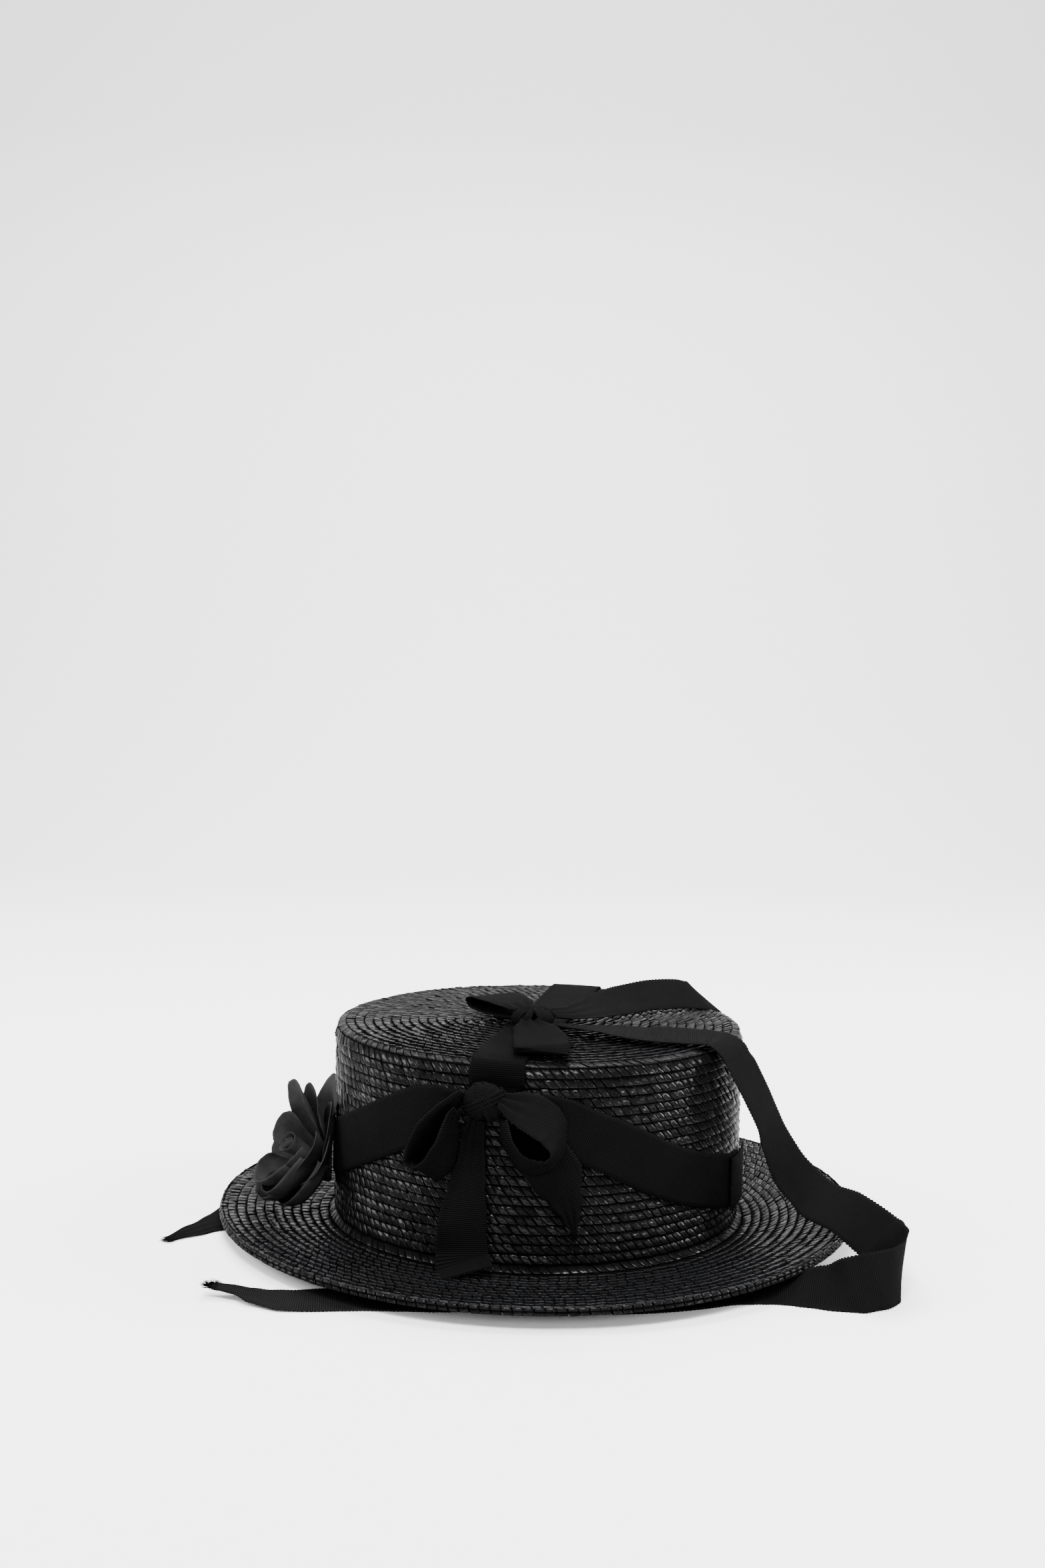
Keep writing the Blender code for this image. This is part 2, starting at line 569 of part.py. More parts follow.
def rose_frame():
    """The point that the petals spread from, the two directions across the rose and the way it faces."""
    point, _, frame = place(Row("WALL", ROSE_ANGLE, ROSE_HEIGHT, over=1))
    facing = (frame @ Vector(ROSE_FACING)).normalized()
    right = Vector((0, 0, 1)).cross(facing).normalized()
    seat = point + outward(ROSE_ANGLE) * (ROSE_LIFT - RIBBON_THICKNESS / 2)
    return seat, right, facing.cross(right), facing


def petal_point(petal, across, along):
    """A point of a petal on its cone: across is -1 to 1 over its width, along is 0 to 1 at its tip."""
    base, right, up, facing = rose_frame()
    tip = PETAL_LENGTH * petal.long * (1 - 0.10 * across * across)
    reach = PETAL_START + (tip - PETAL_START) * along
    opening = radians(petal.open - PETAL_BEND * along * along)
    rounding = (0.45 + 0.55 * sin(pi * min(1.0, along * 1.1) / 1.5)) * (1 - max(0.0, along - 0.6) ** 2 * 2.6)
    turn = PETAL_WIDTH * petal.wide / 2 * rounding / (reach * sin(opening))
    around = radians(petal.around) + across * min(turn, radians(PETAL_WRAP))
    flat = right * cos(around) + up * sin(around)
    return base + facing * (reach * cos(opening)) + flat * (reach * sin(opening))


def add_petal(name, petal, material):
    bm = bmesh.new()
    rows = []
    for j in range(PETAL_STEPS + 1):
        row = []
        for i in range(PETAL_STEPS + 1):
            row.append(bm.verts.new(petal_point(petal, 2 * i / PETAL_STEPS - 1, j / PETAL_STEPS)))
        rows.append(row)
    for low, high in zip(rows, rows[1:]):
        for i in range(PETAL_STEPS):
            bm.faces.new((low[i], low[i + 1], high[i + 1], high[i]))
    thicken(add_object(name, bm, material), PETAL_THICKNESS, 0)


def add_rose(material):
    """The base on the band, the petals and the bud."""
    base, _, _, facing = rose_frame()
    out = outward(ROSE_ANGLE)
    bm = bmesh.new()
    bmesh.ops.create_uvsphere(bm, u_segments=16, v_segments=12, radius=PETAL_START - CLEARANCE)
    dome = bm.verts[:] + bm.edges[:] + bm.faces[:]
    bmesh.ops.bisect_plane(bm, geom=dome, plane_co=(0, 0, -ROSE_LIFT), plane_no=(0, 0, -1), clear_outer=True)
    bmesh.ops.holes_fill(bm, edges=bm.edges[:])
    seat = add_object("rose_base", bm, material)
    seat.matrix_world = Matrix.Translation(base) @ out.to_track_quat("Z", "Y").to_matrix().to_4x4()
    for number, petal in enumerate(PETALS):
        add_petal(f"rose_petal_{number + 1:02d}", petal, material)
    bm = bmesh.new()
    bmesh.ops.create_cone(
        bm, cap_ends=True, segments=12, radius1=BUD_RADIUS / 3, radius2=BUD_RADIUS, depth=BUD_LENGTH
    )
    bud = add_object("rose_bud", bm, material)
    middle = base + facing * (PETAL_START + BUD_LENGTH / 2)
    bud.matrix_world = Matrix.Translation(middle) @ facing.to_track_quat("Z", "Y").to_matrix().to_4x4()


def shade_smooth():
    for made in hat_collection.objects:
        made.data.shade_smooth()
        made.data.set_sharp_from_angle(angle=radians(35))


for old in list(bpy.data.objects):
    bpy.data.objects.remove(old)
hat_collection = bpy.data.collections.new("boater_hat")
bpy.context.scene.collection.children.link(hat_collection)

lacquered_straw = add_material("lacquered_straw", (0.012, 0.012, 0.013), 0.22)
matte_ribbon = add_material("matte_ribbon", (0.014, 0.014, 0.015), 0.85)
rose_cloth = add_material("rose_cloth", (0.020, 0.020, 0.021), 0.75)

add_straw_body(lacquered_straw)
add_ribbon("crown_ribbon", CROWN_RIBBON, matte_ribbon, 4)
add_ribbon("side_band", SIDE_BAND, matte_ribbon, 2)
add_ribbon("side_band_right", SIDE_BAND_RIGHT, matte_ribbon, 2)
add_ribbon("tab_near", TAB_NEAR, matte_ribbon, width=TAB_HEIGHT)
add_ribbon("tab_far", TAB_FAR, matte_ribbon, width=TAB_HEIGHT)
add_knot("side_knot", SIDE_KNOT, matte_ribbon)
add_ribbon("side_loop_left", SIDE_LOOP_LEFT, matte_ribbon)
add_ribbon("side_loop_right", SIDE_LOOP_RIGHT, matte_ribbon)
add_ribbon("side_tail_left", SIDE_TAIL_LEFT, matte_ribbon)
add_ribbon("side_tail_right", SIDE_TAIL_RIGHT, matte_ribbon)
add_knot("top_knot", TOP_KNOT, matte_ribbon)
add_ribbon("top_loop_left", TOP_LOOP_LEFT, matte_ribbon)
add_ribbon("top_loop_front", TOP_LOOP_FRONT, matte_ribbon)
add_ribbon("long_tail_right", LONG_TAIL_RIGHT, matte_ribbon)
add_ribbon("long_tail_back", LONG_TAIL_BACK, matte_ribbon)
add_rose(rose_cloth)
shade_smooth()
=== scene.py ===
# Looks for the black straw boater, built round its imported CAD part. Metres, +Z up.

from collections import namedtuple
from math import cos, degrees, pi, radians, sin

import bmesh
import bpy
from mathutils import Matrix, Vector, noise


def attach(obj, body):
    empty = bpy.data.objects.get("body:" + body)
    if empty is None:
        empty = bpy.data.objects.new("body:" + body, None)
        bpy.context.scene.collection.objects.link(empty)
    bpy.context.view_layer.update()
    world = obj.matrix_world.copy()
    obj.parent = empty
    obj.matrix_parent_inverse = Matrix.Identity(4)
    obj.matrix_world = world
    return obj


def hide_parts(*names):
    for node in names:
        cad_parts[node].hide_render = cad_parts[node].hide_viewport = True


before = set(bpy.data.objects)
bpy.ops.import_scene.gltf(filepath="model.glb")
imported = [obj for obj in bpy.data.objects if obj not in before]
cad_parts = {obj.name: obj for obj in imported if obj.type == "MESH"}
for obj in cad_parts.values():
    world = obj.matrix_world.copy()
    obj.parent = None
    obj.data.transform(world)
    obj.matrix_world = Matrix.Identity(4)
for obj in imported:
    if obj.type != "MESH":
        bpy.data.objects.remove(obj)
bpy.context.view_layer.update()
upwards = Vector((0, 0, 1))
print("frame loaded:", len(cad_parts), "nodes")


def newObject(name, data):
    made = bpy.data.objects.new(name, data)
    bpy.context.scene.collection.objects.link(made)
    return made


# the camera, at the photograph's height and angle
view = {"place": (-0.0101, -0.8, 0.2857), "down": 5.104, "roll": 0.99}
film = {"sensor_fit": "VERTICAL", "sensor_width": 24, "sensor_height": 36, "lens": 37.85, "clip_start": 0.01}
camera = newObject("camera", bpy.data.cameras.new("camera"))
for setting, value in film.items():
    setattr(camera.data, setting, value)
tilted = Matrix.Rotation(radians(90 - view["down"]), 4, "X") @ Matrix.Rotation(radians(view["roll"]), 4, "Z")
camera.matrix_world = Matrix.Translation(view["place"]) @ tilted
bpy.context.scene.camera = camera


class Wire:  # a node's output, so that sums on it can be written as sums
    def __init__(self, nodes, socket):
        self.nodes = nodes
        self.socket = socket

    def work(self, operation, *values):
        return self.nodes.node("ShaderNodeMath", {"operation": operation}, dict(enumerate(values)))

    def __add__(self, other):
        return self.work("ADD", self, other)

    __radd__ = __add__

    def __sub__(self, other):
        return self.work("SUBTRACT", self, other)

    def __rsub__(self, other):
        return self.work("SUBTRACT", other, self)

    def __mul__(self, other):
        return self.work("MULTIPLY", self, other)

    def __truediv__(self, other):
        return self.work("DIVIDE", self, other)

    def sine(self):
        return self.work("SINE", self)

    def size(self):
        return self.work("ABSOLUTE", self)

    def fraction(self):
        return self.work("FRACT", self)


class Nodes:  # a node tree, and the one way that nodes are added to it
    def __init__(self, tree):
        self.tree = tree

    def node(self, kind, settings=None, inputs=None, output=0):
        made = self.tree.nodes.new(kind)
        for name, value in (settings or {}).items():
            if name == "stops":
                while len(made.color_ramp.elements) < len(value):
                    made.color_ramp.elements.new(0.5)
                for element, (position, shade) in zip(made.color_ramp.elements, value):
                    element.position = position
                    element.color = (shade, shade, shade, 1)
            else:
                setattr(made, name, value)
        for socket, value in (inputs or {}).items():
            self.feed(made.inputs[socket], value)
        return Wire(self, made.outputs[output])

    def feed(self, socket, value):
        if isinstance(value, Wire):
            self.tree.links.new(value.socket, socket)
        else:
            socket.default_value = value

    def attribute(self, name, output="Fac"):
        return self.node("ShaderNodeAttribute", {"attribute_name": name}, output=output)

    def parts(self, name):  # the three numbers of a vector attribute
        vector = self.attribute(name, "Vector")
        return [self.node("ShaderNodeSeparateXYZ", None, {0: vector}, i) for i in range(3)]

    def noise(self, vector, detail, scale=1):
        return self.node("ShaderNodeTexNoise", None, {"Vector": vector, "Scale": scale, "Detail": detail})

    def point(self, x, y, z=0):
        return self.node("ShaderNodeCombineXYZ", None, {0: x, 1: y, 2: z})

    def ramp(self, value, stops):
        return self.node("ShaderNodeValToRGB", {"stops": stops}, {0: value})


class Finish(Nodes):  # a material with one Principled shader
    def __init__(self, name, **fixed):
        self.material = bpy.data.materials.new(name)
        self.material.use_nodes = True
        super().__init__(self.material.node_tree)
        self.shader = self.tree.nodes["Principled BSDF"]
        for socket, value in fixed.items():
            self.shader.inputs[socket.replace("_", " ")].default_value = value

    def show(self, socket, value):  # what varies over the surface
        self.feed(self.shader.inputs[socket], value)

    def colour(self, value, dark, light):
        shades = {0: value, 6: (*dark, 1), 7: (*light, 1)}
        self.show("Base Color", self.node("ShaderNodeMix", {"data_type": "RGBA"}, shades, 2))

    def bump(self, height, strength, distance):
        given = {"Height": height, "Strength": strength, "Distance": distance}
        self.show("Normal", self.node("ShaderNodeBump", None, given))


def keepPiece(name, mesh, finish):
    mesh.materials.append(finish.material)
    mesh.polygons.foreach_set("use_smooth", [True] * len(mesh.polygons))
    return newObject(name, mesh)


def settle(piece):  # the modifiers' result as a plain mesh, without the modifiers
    found = bpy.context.evaluated_depsgraph_get()
    mesh = bpy.data.meshes.new_from_object(piece.evaluated_get(found), depsgraph=found)
    piece.modifiers.clear()
    piece.data = mesh
    mesh.name = piece.name
    return piece


def thicken(piece, thickness, offset=0):
    wall = piece.modifiers.new("wall", "SOLIDIFY")
    wall.thickness = thickness
    wall.offset = offset
    return settle(piece)


def fitPiece(piece, slot, *nodes):  # it rides on the hat and stands for the nodes, which it hides
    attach(piece, "root")
    if nodes:
        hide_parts(*nodes)
    return piece


def gridMesh(name, lines, closed=False, places=None):
    # a mesh through lines of points, each line as long as the next; places are vectors for the finish
    mesh = bpy.data.meshes.new(name)
    across = len(lines[0])
    faces = []
    for i in range(len(lines) - 1):
        for j in range(across if closed else across - 1):
            k = (j + 1) % across
            faces.append((i * across + j, i * across + k, (i + 1) * across + k, (i + 1) * across + j))
    mesh.from_pydata([p for line in lines for p in line], [], faces)
    if places:
        layer = mesh.attributes.new("place", "FLOAT_VECTOR", "POINT")
        layer.data.foreach_set("vector", [c for line in places for p in line for c in p])
    mesh.update()
    return mesh


def ruledMesh(name, grid, rule, closed=False):
    # a mesh by a rule, which gives the point at shares of its rows and columns, and its place for the finish
    rows, columns = grid
    ends = range(columns if closed else columns + 1)
    found = [[rule(row / rows, column / columns) for column in ends] for row in range(rows + 1)]
    lines = [[point for point, _ in line] for line in found]
    return gridMesh(name, lines, closed, [[place for _, place in line] for line in found])


# the hat's own surface, in the sizes that the CAD part has
hat = {
    "halfLength": 0.0995,
    "halfWidth": 0.086,
    "height": 0.096,
    "edge": 0.005,
    "foot": 0.008,
    "corner": 0.004,
    "brim": 0.0545,
    "rise": 0.0060,
    "wall": 0.002,
    "floorGap": 0.0014,
    # how the rim rises round the hat: degrees, and a share of the rise
    "rimWave": [(0, 1.45), (45, 1.2), (90, 0.55), (135, 0.4), (180, 0.87), (225, 1.05), (270, 1.1), (315, 1.3),
                (360, 1.45)],
}
topLevel = hat["floorGap"] + hat["height"]
edgeLength = pi / 2 * hat["edge"]
wallLength = hat["height"] - hat["edge"] - hat["wall"] - hat["corner"]
footLength = pi / 2 * hat["corner"]
footAt = edgeLength + wallLength
brimAt = footAt + footLength
rimAt = brimAt + hat["brim"] - hat["corner"]


def oval(angle, offset):
    turn = radians(angle)
    return Vector(((hat["halfLength"] + offset) * cos(turn), (hat["halfWidth"] + offset) * sin(turn), 0))


def outward(angle):
    turn = radians(angle)
    return Vector((cos(turn) / hat["halfLength"], sin(turn) / hat["halfWidth"], 0)).normalized()


def brimUnderside(angle, offset):
    angle %= 360
    for (a, low), (b, high) in zip(hat["rimWave"], hat["rimWave"][1:]):
        if a <= angle <= b:
            rise = low + (high - low) * (1 - cos(pi * (angle - a) / (b - a))) / 2
    share = max(0, (offset - hat["foot"]) / (hat["brim"] - hat["foot"]))
    return hat["floorGap"] + hat["rise"] * rise * share


def strawSkin(angle, travel):
    # the outer face: travel is 0 where the flat top meets its rounded edge, and grows down the wall to the rim
    edge, corner = hat["edge"], hat["corner"]
    if travel <= 0:
        return oval(angle, travel - edge) + upwards * topLevel
    if travel <= edgeLength:
        turn = travel / edge
        return oval(angle, edge * (sin(turn) - 1)) + upwards * (topLevel - edge * (1 - cos(turn)))
    if travel <= footAt:
        return oval(angle, 0) + upwards * (topLevel - edge - (travel - edgeLength))
    if travel <= brimAt:
        turn = (travel - footAt) / corner
        level = topLevel - edge - wallLength - corner * sin(turn)
        return oval(angle, corner * (1 - cos(turn))) + upwards * level
    offset = min(corner + travel - brimAt, hat["brim"])
    point = oval(angle, offset) + upwards * (brimUnderside(angle, offset) + hat["wall"])
    if travel > rimAt:
        half = hat["wall"] / 2
        turn = min(pi, (travel - rimAt) / half)
        point += outward(angle) * sin(turn) * half - upwards * (1 - cos(turn)) * half
    return point


def strawFrame(angle, travel):  # a point of the skin, with its directions along the row and outwards
    near, close = 0.4, 0.0002  # degrees and metres to each side
    along = (strawSkin(angle + near, travel) - strawSkin(angle - near, travel)).normalized()
    down = (strawSkin(angle, travel + close) - strawSkin(angle, travel - close)).normalized()
    return strawSkin(angle, travel), along, down.cross(along).normalized()


# the straw: rows of braid, each a line of leaning splints
lacquer = {
    "black": (0.0004, 0.0004, 0.0005),
    "grey": (0.0036, 0.0036, 0.0039),
    "deepest": (0.0001, 0.0001, 0.0001),
    "dull": 0.03,
    "shiny": 0.20,
}
splint = {
    "length": 0.00425,
    "width": 0.00445,
    "lean": 0.0036,
    "low": -0.0011,
    "step": 0.00035,  # how far its outer edge stands up, and its inner edge down
    "drop": 0.00032,
    "tip": 0.75,
    "spacing": 0.0043,
    "jitter": (0.06, 0.10, 0.02),
    "smallest": (0.90, 0.99, 0.90),
    "largest": (1.05, 1.01, 1.10),
}
deepSplint = {**splint, "step": 0.00042, "tip": 0.25}
rimSplint = {**splint, "length": 0.0044, "width": 0.0022, "lean": 0.0008, "step": 0.0001, "drop": 0.0004}
rimSplint.update(spacing=0.0046, jitter=(0.02, 0.02, 0.02))
braid = {
    "row": 0.00445,
    "topRows": 18,
    "sink": 0.0009,
    "wobble": 0.00022,
    "points": 180,
    "shift": (0.00015, 0.00008, 0.0001),
    "seed": 11,
}


def strawFinish(name, gloss, litEdge):
    finish = Finish(name, Coat_Roughness=0.15, Specular_IOR_Level=0.02)
    along, across, dome = finish.parts("place")
    tint = finish.attribute("tint")
    # every other splint is rough, with small holes; fibres run along each splint, which leans across its row
    rough = finish.ramp(tint, [(0.48, 0), (0.52, 1)])
    luck = (tint * 2).fraction()
    fibre = finish.noise(finish.point(along * 20, across * 1.8, tint * 40), 3)
    patch = finish.noise(finish.point(along * 3 + tint * 9, across * 3, tint * 17), 2)
    pits = finish.noise(finish.point(along * 6 + tint * 31, across * 6, tint * 53), 1)
    pits = finish.ramp(pits, [(0.60, 1), (0.66, 0.1)]) * rough + (1 - rough)
    # painted shade: the splints' ends darkened at the slits between them, a dark line under the row above, and
    # their sides darkened below
    slit = finish.ramp(along.size(), [(0.44, 1), (0.48, 0.05)])
    step = finish.ramp(across + 0.5, [(0.08, 0), (0.18, 1)])
    # the sides under each splint painted dark as shade
    side = finish.ramp(dome + 1, [(0.6, 0), (1, 1)])
    shown = slit * step * pits * side
    shade = finish.ramp(fibre * 0.6 + luck * 0.25 + 0.1, [(0.15, 0.2), (0.70, 1)])
    # a painted highlight along each splint's outer edge, where it catches the light; each zone sets how strongly
    # it replaces the fibre tone, and the grey is brightened for it
    edge = finish.ramp(across + 0.5, [(0.80, 0), (0.95, 1)])
    toneShare = shade * shown * (1 - litEdge) + shown * edge * litEdge
    finish.colour(toneShare, lacquer["black"], tuple(c * (1 + 2.5 * litEdge) for c in lacquer["grey"]))
    finish.show("Roughness", 1 - shown * (0.80 - patch * 0.2 - rough * 0.1))
    shine = [(0.25, lacquer["dull"] * gloss), (0.75, lacquer["shiny"] * gloss)]
    shine = finish.ramp(patch * 0.5 + luck * 0.5, shine)
    finish.show("Coat Weight", shine * shown)
    finish.bump(fibre * 1.1 + patch * (0.8 + rough) + pits * 0.8, 0.6, 0.00025)
    return finish


def groundFinish():
    # the shell under the splints, and the plain inside: sewn rows with leaning splints; its colour is painted
    # shade, darker than the splints so that the gaps between them read as shade, and darkest in the painted slits
    # and row lines
    finish = Finish("strawGround", Specular_IOR_Level=0.03)
    along, down, _ = finish.parts("place")
    row = (down / braid["row"]).fraction()
    lean = (along / splint["spacing"] - row * 0.55).fraction()
    slit = finish.ramp((lean - 0.5).size() * 2, [(0.78, 1), (0.97, 0)])
    relief = slit * finish.ramp(row, [(0.06, 0), (0.14, 1)])
    # painted shade: the slits and the line under each row darkest
    finish.colour(relief, lacquer["deepest"], lacquer["black"])
    finish.show("Roughness", 0.85 - relief * 0.25)
    finish.bump(relief + row * 0.5, 0.8, 0.0006)
    return finish


def splintObject(size):
    # one splint: a leaning plate with a domed back and rounded edges, highest at its outer edge
    columns = [(-0.5, 0), (-0.40, 0.9), (-0.15, 0.55), (0.10, 1), (0.40, 0.8), (0.5, 0)]
    rows = [(-0.58, 1), (0.43, 1), (0.50, size["tip"])]
    under = 0.97  # the underside's share of the size
    bm = bmesh.new()
    layer = bm.verts.layers.float_vector.new("place")
    grid = []
    for y, raised in rows:
        line = []
        for x, bowed in columns:
            height = size["step"] * 2 * y - size["drop"] * (1 - min(raised, bowed))
            vert = bm.verts.new((x * size["length"] + y * size["lean"], -y * size["width"], height))
            vert[layer] = (x, y, bowed)
            line.append(vert)
        grid.append(line)
    for low, high in zip(grid, grid[1:]):
        for i in range(len(columns) - 1):
            bm.faces.new((low[i], high[i], high[i + 1], low[i + 1]))
    ring = grid[0] + [line[-1] for line in grid[1:-1]] + grid[-1][::-1] + [line[0] for line in grid[-2:0:-1]]
    below = []
    for vert in ring:
        low = bm.verts.new((vert.co.x * under, vert.co.y * under, size["low"]))
        # -1 marks the sides, which the straw finish paints dark as shade
        low[layer] = (vert[layer].x, vert[layer].y, -1)
        below.append(low)
    for face in bm.faces:
        face.smooth = True
    for i, vert in enumerate(ring):
        after = (i + 1) % len(ring)
        bm.faces.new((vert, ring[after], below[after], below[i]))
    bm.faces.new(below)
    bmesh.ops.recalc_face_normals(bm, faces=bm.faces)
    mesh = bpy.data.meshes.new("splint")
    bm.to_mesh(mesh)
    bm.free()
    return newObject("splint", mesh)


def guideObject(name, points, edges, along, normals):
    # lines for the node tree, each point with the direction along its row and the normal under it
    mesh = bpy.data.meshes.new(name)
    mesh.from_pydata(points, edges, [])
    for label, values in (("rowAlong", along), ("strawNormal", normals)):
        mesh.attributes.new(label, "FLOAT_VECTOR", "POINT").data.foreach_set("vector", values)
    return newObject(name, mesh)


def rowGuide(name, travels, sunk):  # closed lines round the hat
    points, edges, along, normals = [], [], [], []
    count = braid["points"]
    for number, travel in enumerate(travels):
        first = len(points)
        start = noise.random() * 360
        for step in range(count):
            angle = start + step * 360 / count
            waved = (cos(radians(angle)) * 3, sin(radians(angle)) * 3, number * 7.3)  # a circle for each row
            point, side, normal = strawFrame(angle, travel + braid["wobble"] * noise.noise(waved))
            points.append(point - upwards * sunk)
            along.extend(side)
            normals.extend(normal)
            edges.append((first + step, first + (step + 1) % count))
    return guideObject(name, points, edges, along, normals)


def braidTree():
    tree = bpy.data.node_groups.new("braid", "GeometryNodeTree")
    wanted = {"rows": "Geometry", "shape": "Object", "spacing": "Float", "jitter": "Vector"}
    wanted.update(smallest="Vector", largest="Vector", seed="Int", finish="Material")
    for label, kind in wanted.items():
        tree.interface.new_socket(label, in_out="INPUT", socket_type="NodeSocket" + kind)
    tree.interface.new_socket("braid", in_out="OUTPUT", socket_type="NodeSocketGeometry")
    nodes = Nodes(tree)
    given = tree.nodes.new("NodeGroupInput").outputs[: len(wanted)]
    rows, shape, spacing, jitter, smallest, largest, seed, finish = [Wire(nodes, socket) for socket in given]

    def stored(label):
        return nodes.node("GeometryNodeInputNamedAttribute", {"data_type": "FLOAT_VECTOR"}, {"Name": label})

    def between(low, high, salt):  # a vector by chance
        limits = {0: low, 1: high, "Seed": salt}
        return nodes.node("FunctionNodeRandomValue", {"data_type": "FLOAT_VECTOR"}, limits)

    def eitherWay(size, salt):
        opposite = nodes.node("ShaderNodeVectorMath", {"operation": "SCALE"}, {0: size, "Scale": -1.0})
        return between(opposite, size, salt)

    curves = nodes.node("GeometryNodeMeshToCurve", None, {"Mesh": rows})
    even = nodes.node("GeometryNodeResampleCurve", {"mode": "LENGTH"}, {"Curve": curves, "Length": spacing})
    normal = nodes.node("FunctionNodeAlignRotationToVector", {"axis": "Z"}, {"Vector": stored("strawNormal")})
    pointed = {"Rotation": normal, "Vector": stored("rowAlong")}
    turned = nodes.node("FunctionNodeAlignRotationToVector", {"axis": "X", "pivot_axis": "Z"}, pointed)
    shaken = {"Rotation": turned, "Rotate By": eitherWay(jitter, seed)}
    turned = nodes.node("FunctionNodeRotateRotation", {"rotation_space": "LOCAL"}, shaken)
    shape = nodes.node("GeometryNodeObjectInfo", None, {"Object": shape, "As Instance": True}, "Geometry")
    laid = {"Points": even, "Instance": shape, "Rotation": turned, "Scale": between(smallest, largest, seed + 1)}
    laid = nodes.node("GeometryNodeInstanceOnPoints", None, laid)
    slid = {"Instances": laid, "Translation": eitherWay(braid["shift"], seed + 3)}
    slid = nodes.node("GeometryNodeTranslateInstances", None, slid)
    index = nodes.node("GeometryNodeInputIndex")
    chance = nodes.node("FunctionNodeRandomValue", {"data_type": "FLOAT"}, {"Seed": seed + 2}, 1)
    kept = {"Geometry": slid, "Name": "tint", "Value": index.work("MODULO", index, 2) * 0.5 + chance * 0.5}
    tinted = nodes.node("GeometryNodeStoreNamedAttribute", {"data_type": "FLOAT", "domain": "INSTANCE"}, kept)
    real = nodes.node("GeometryNodeRealizeInstances", None, {"Geometry": tinted})
    painted = nodes.node("GeometryNodeSetMaterial", None, {"Geometry": real, "Material": finish})
    nodes.feed(tree.nodes.new("NodeGroupOutput").inputs[0], painted)
    return tree


def growOn(guide, shape, sizes, seed, finish):
    # runs the braid's tree on a guide, with the sizes that the tree names, and keeps the result as a mesh
    given = {**sizes, "shape": shape, "seed": seed, "finish": finish.material}
    grown = guide.modifiers.new("grown", "NODES")
    grown.node_group = tree
    for item in tree.interface.items_tree:
        if item.in_out == "INPUT" and item.name in given:
            grown[item.identifier] = given[item.name]
    bpy.context.view_layer.update()
    settle(guide)
    bpy.data.objects.remove(shape)
    return guide


noise.seed_set(braid["seed"])
tree = braidTree()
top = [-braid["row"] * (i + 0.5) for i in range(braid["topRows"])]
rest = [braid["row"] * (i + 0.5) for i in range(int(rimAt / braid["row"]))]
wallEnd = footAt + footLength / 2
# each zone: its rows, its splint, its gloss, how much painted highlight its outer edges get, and how far it is
# sunk
zones = {
    "strawTopBraid": (top + rest[:1], {**deepSplint, "jitter": (0.06, 0.10, 0.03)}, 0.34, 0.25, 0),
    "strawWallBraid": ([t for t in rest[1:] if t < wallEnd], splint, 1, 0, 0),
    "strawBrimBraid": ([t for t in rest if t >= wallEnd] + [rimAt - 0.0016], deepSplint, 1.2, 0.6, 0),
    "strawRimBraid": ([rimAt + 0.0010], rimSplint, 0.55, 0.1, 0),
    "strawUnderRimBraid": ([rimAt + 0.0012], rimSplint, 0.55, 0.1, 0.0019),
}
for number, (name, (travels, size, gloss, litEdge, sunk)) in enumerate(zones.items()):
    finish = strawFinish(name + "Finish", gloss, litEdge)
    guide = rowGuide(name, travels, sunk)
    piece = growOn(guide, splintObject(size), size, braid["seed"] + 10 * number, finish)
    fitPiece(piece, "straw")
    print(name, len(piece.data.polygons), "faces")

# the shell under the splints keeps the CAD part's inner face
inside = {"steps": 144, "meanRadius": 0.095, "rimGap": 0.0003}
# its rings, on the flat top, its edge, the wall, the foot and the brim
travels = [-0.0809, -0.06, -0.03, -0.012, -0.003]
travels += [edgeLength * i / 5 for i in range(6)]
travels += [edgeLength + wallLength * i / 8 for i in range(1, 9)]
travels += [footAt + footLength * i / 6 for i in range(1, 7)]
travels += [brimAt + (hat["brim"] - hat["corner"]) * i / 8 for i in range(1, 9)]


def shellSpot(down, around):
    angle = around * 360
    travel = travels[int(down * (len(travels) - 1) + 0.5)]
    normal = strawFrame(angle, min(travel, rimAt - inside["rimGap"]))[2]
    point = strawSkin(angle, travel) - normal * braid["sink"]
    return point, (radians(angle) * inside["meanRadius"], travel, 0)


mesh = ruledMesh("strawShell", (len(travels) - 1, inside["steps"]), shellSpot, True)
bm = bmesh.new()
bm.from_mesh(mesh)
hole = [edge for edge in bm.edges if edge.is_boundary and edge.verts[0].co.xy.length < hat["halfWidth"] / 2]
bmesh.ops.edgeloop_fill(bm, edges=hole)
bmesh.ops.recalc_face_normals(bm, faces=bm.faces)
upright = max(bm.faces, key=lambda face: face.normal.xy.length * (face.calc_center_median().z > hat["height"] / 2))
if upright.normal.dot(upright.calc_center_median()) < 0:  # the wall has to look outwards
    bmesh.ops.reverse_faces(bm, faces=bm.faces)
bm.to_mesh(mesh)
bm.free()
shell = thicken(keepPiece("strawShell", mesh, groundFinish()), hat["wall"] - braid["sink"], -1)
fitPiece(shell, "straw", "straw_body")
print("straw laid")

# The ribbons. Each passes through spots, the same as in the CAD part:
# zone: top, edge, wall, brim or floor, the surface that it follows there
# a, b: on the top shares of the crown's half length and half width; elsewhere the angle round the hat, and how far
#       up the crown (wall), round its edge (edge) or out over the brim's width (brim, floor)
# out:  how far it stands off, in ribbon widths; wide: its share of the full width; over: the ribbons under it
# turn: the direction across it (round, outwards, up; on the top X, Y, Z), or None where it lies flat
Spot = namedtuple("Spot", "zone a b out wide turn over", defaults=(0, 1, None, 0))

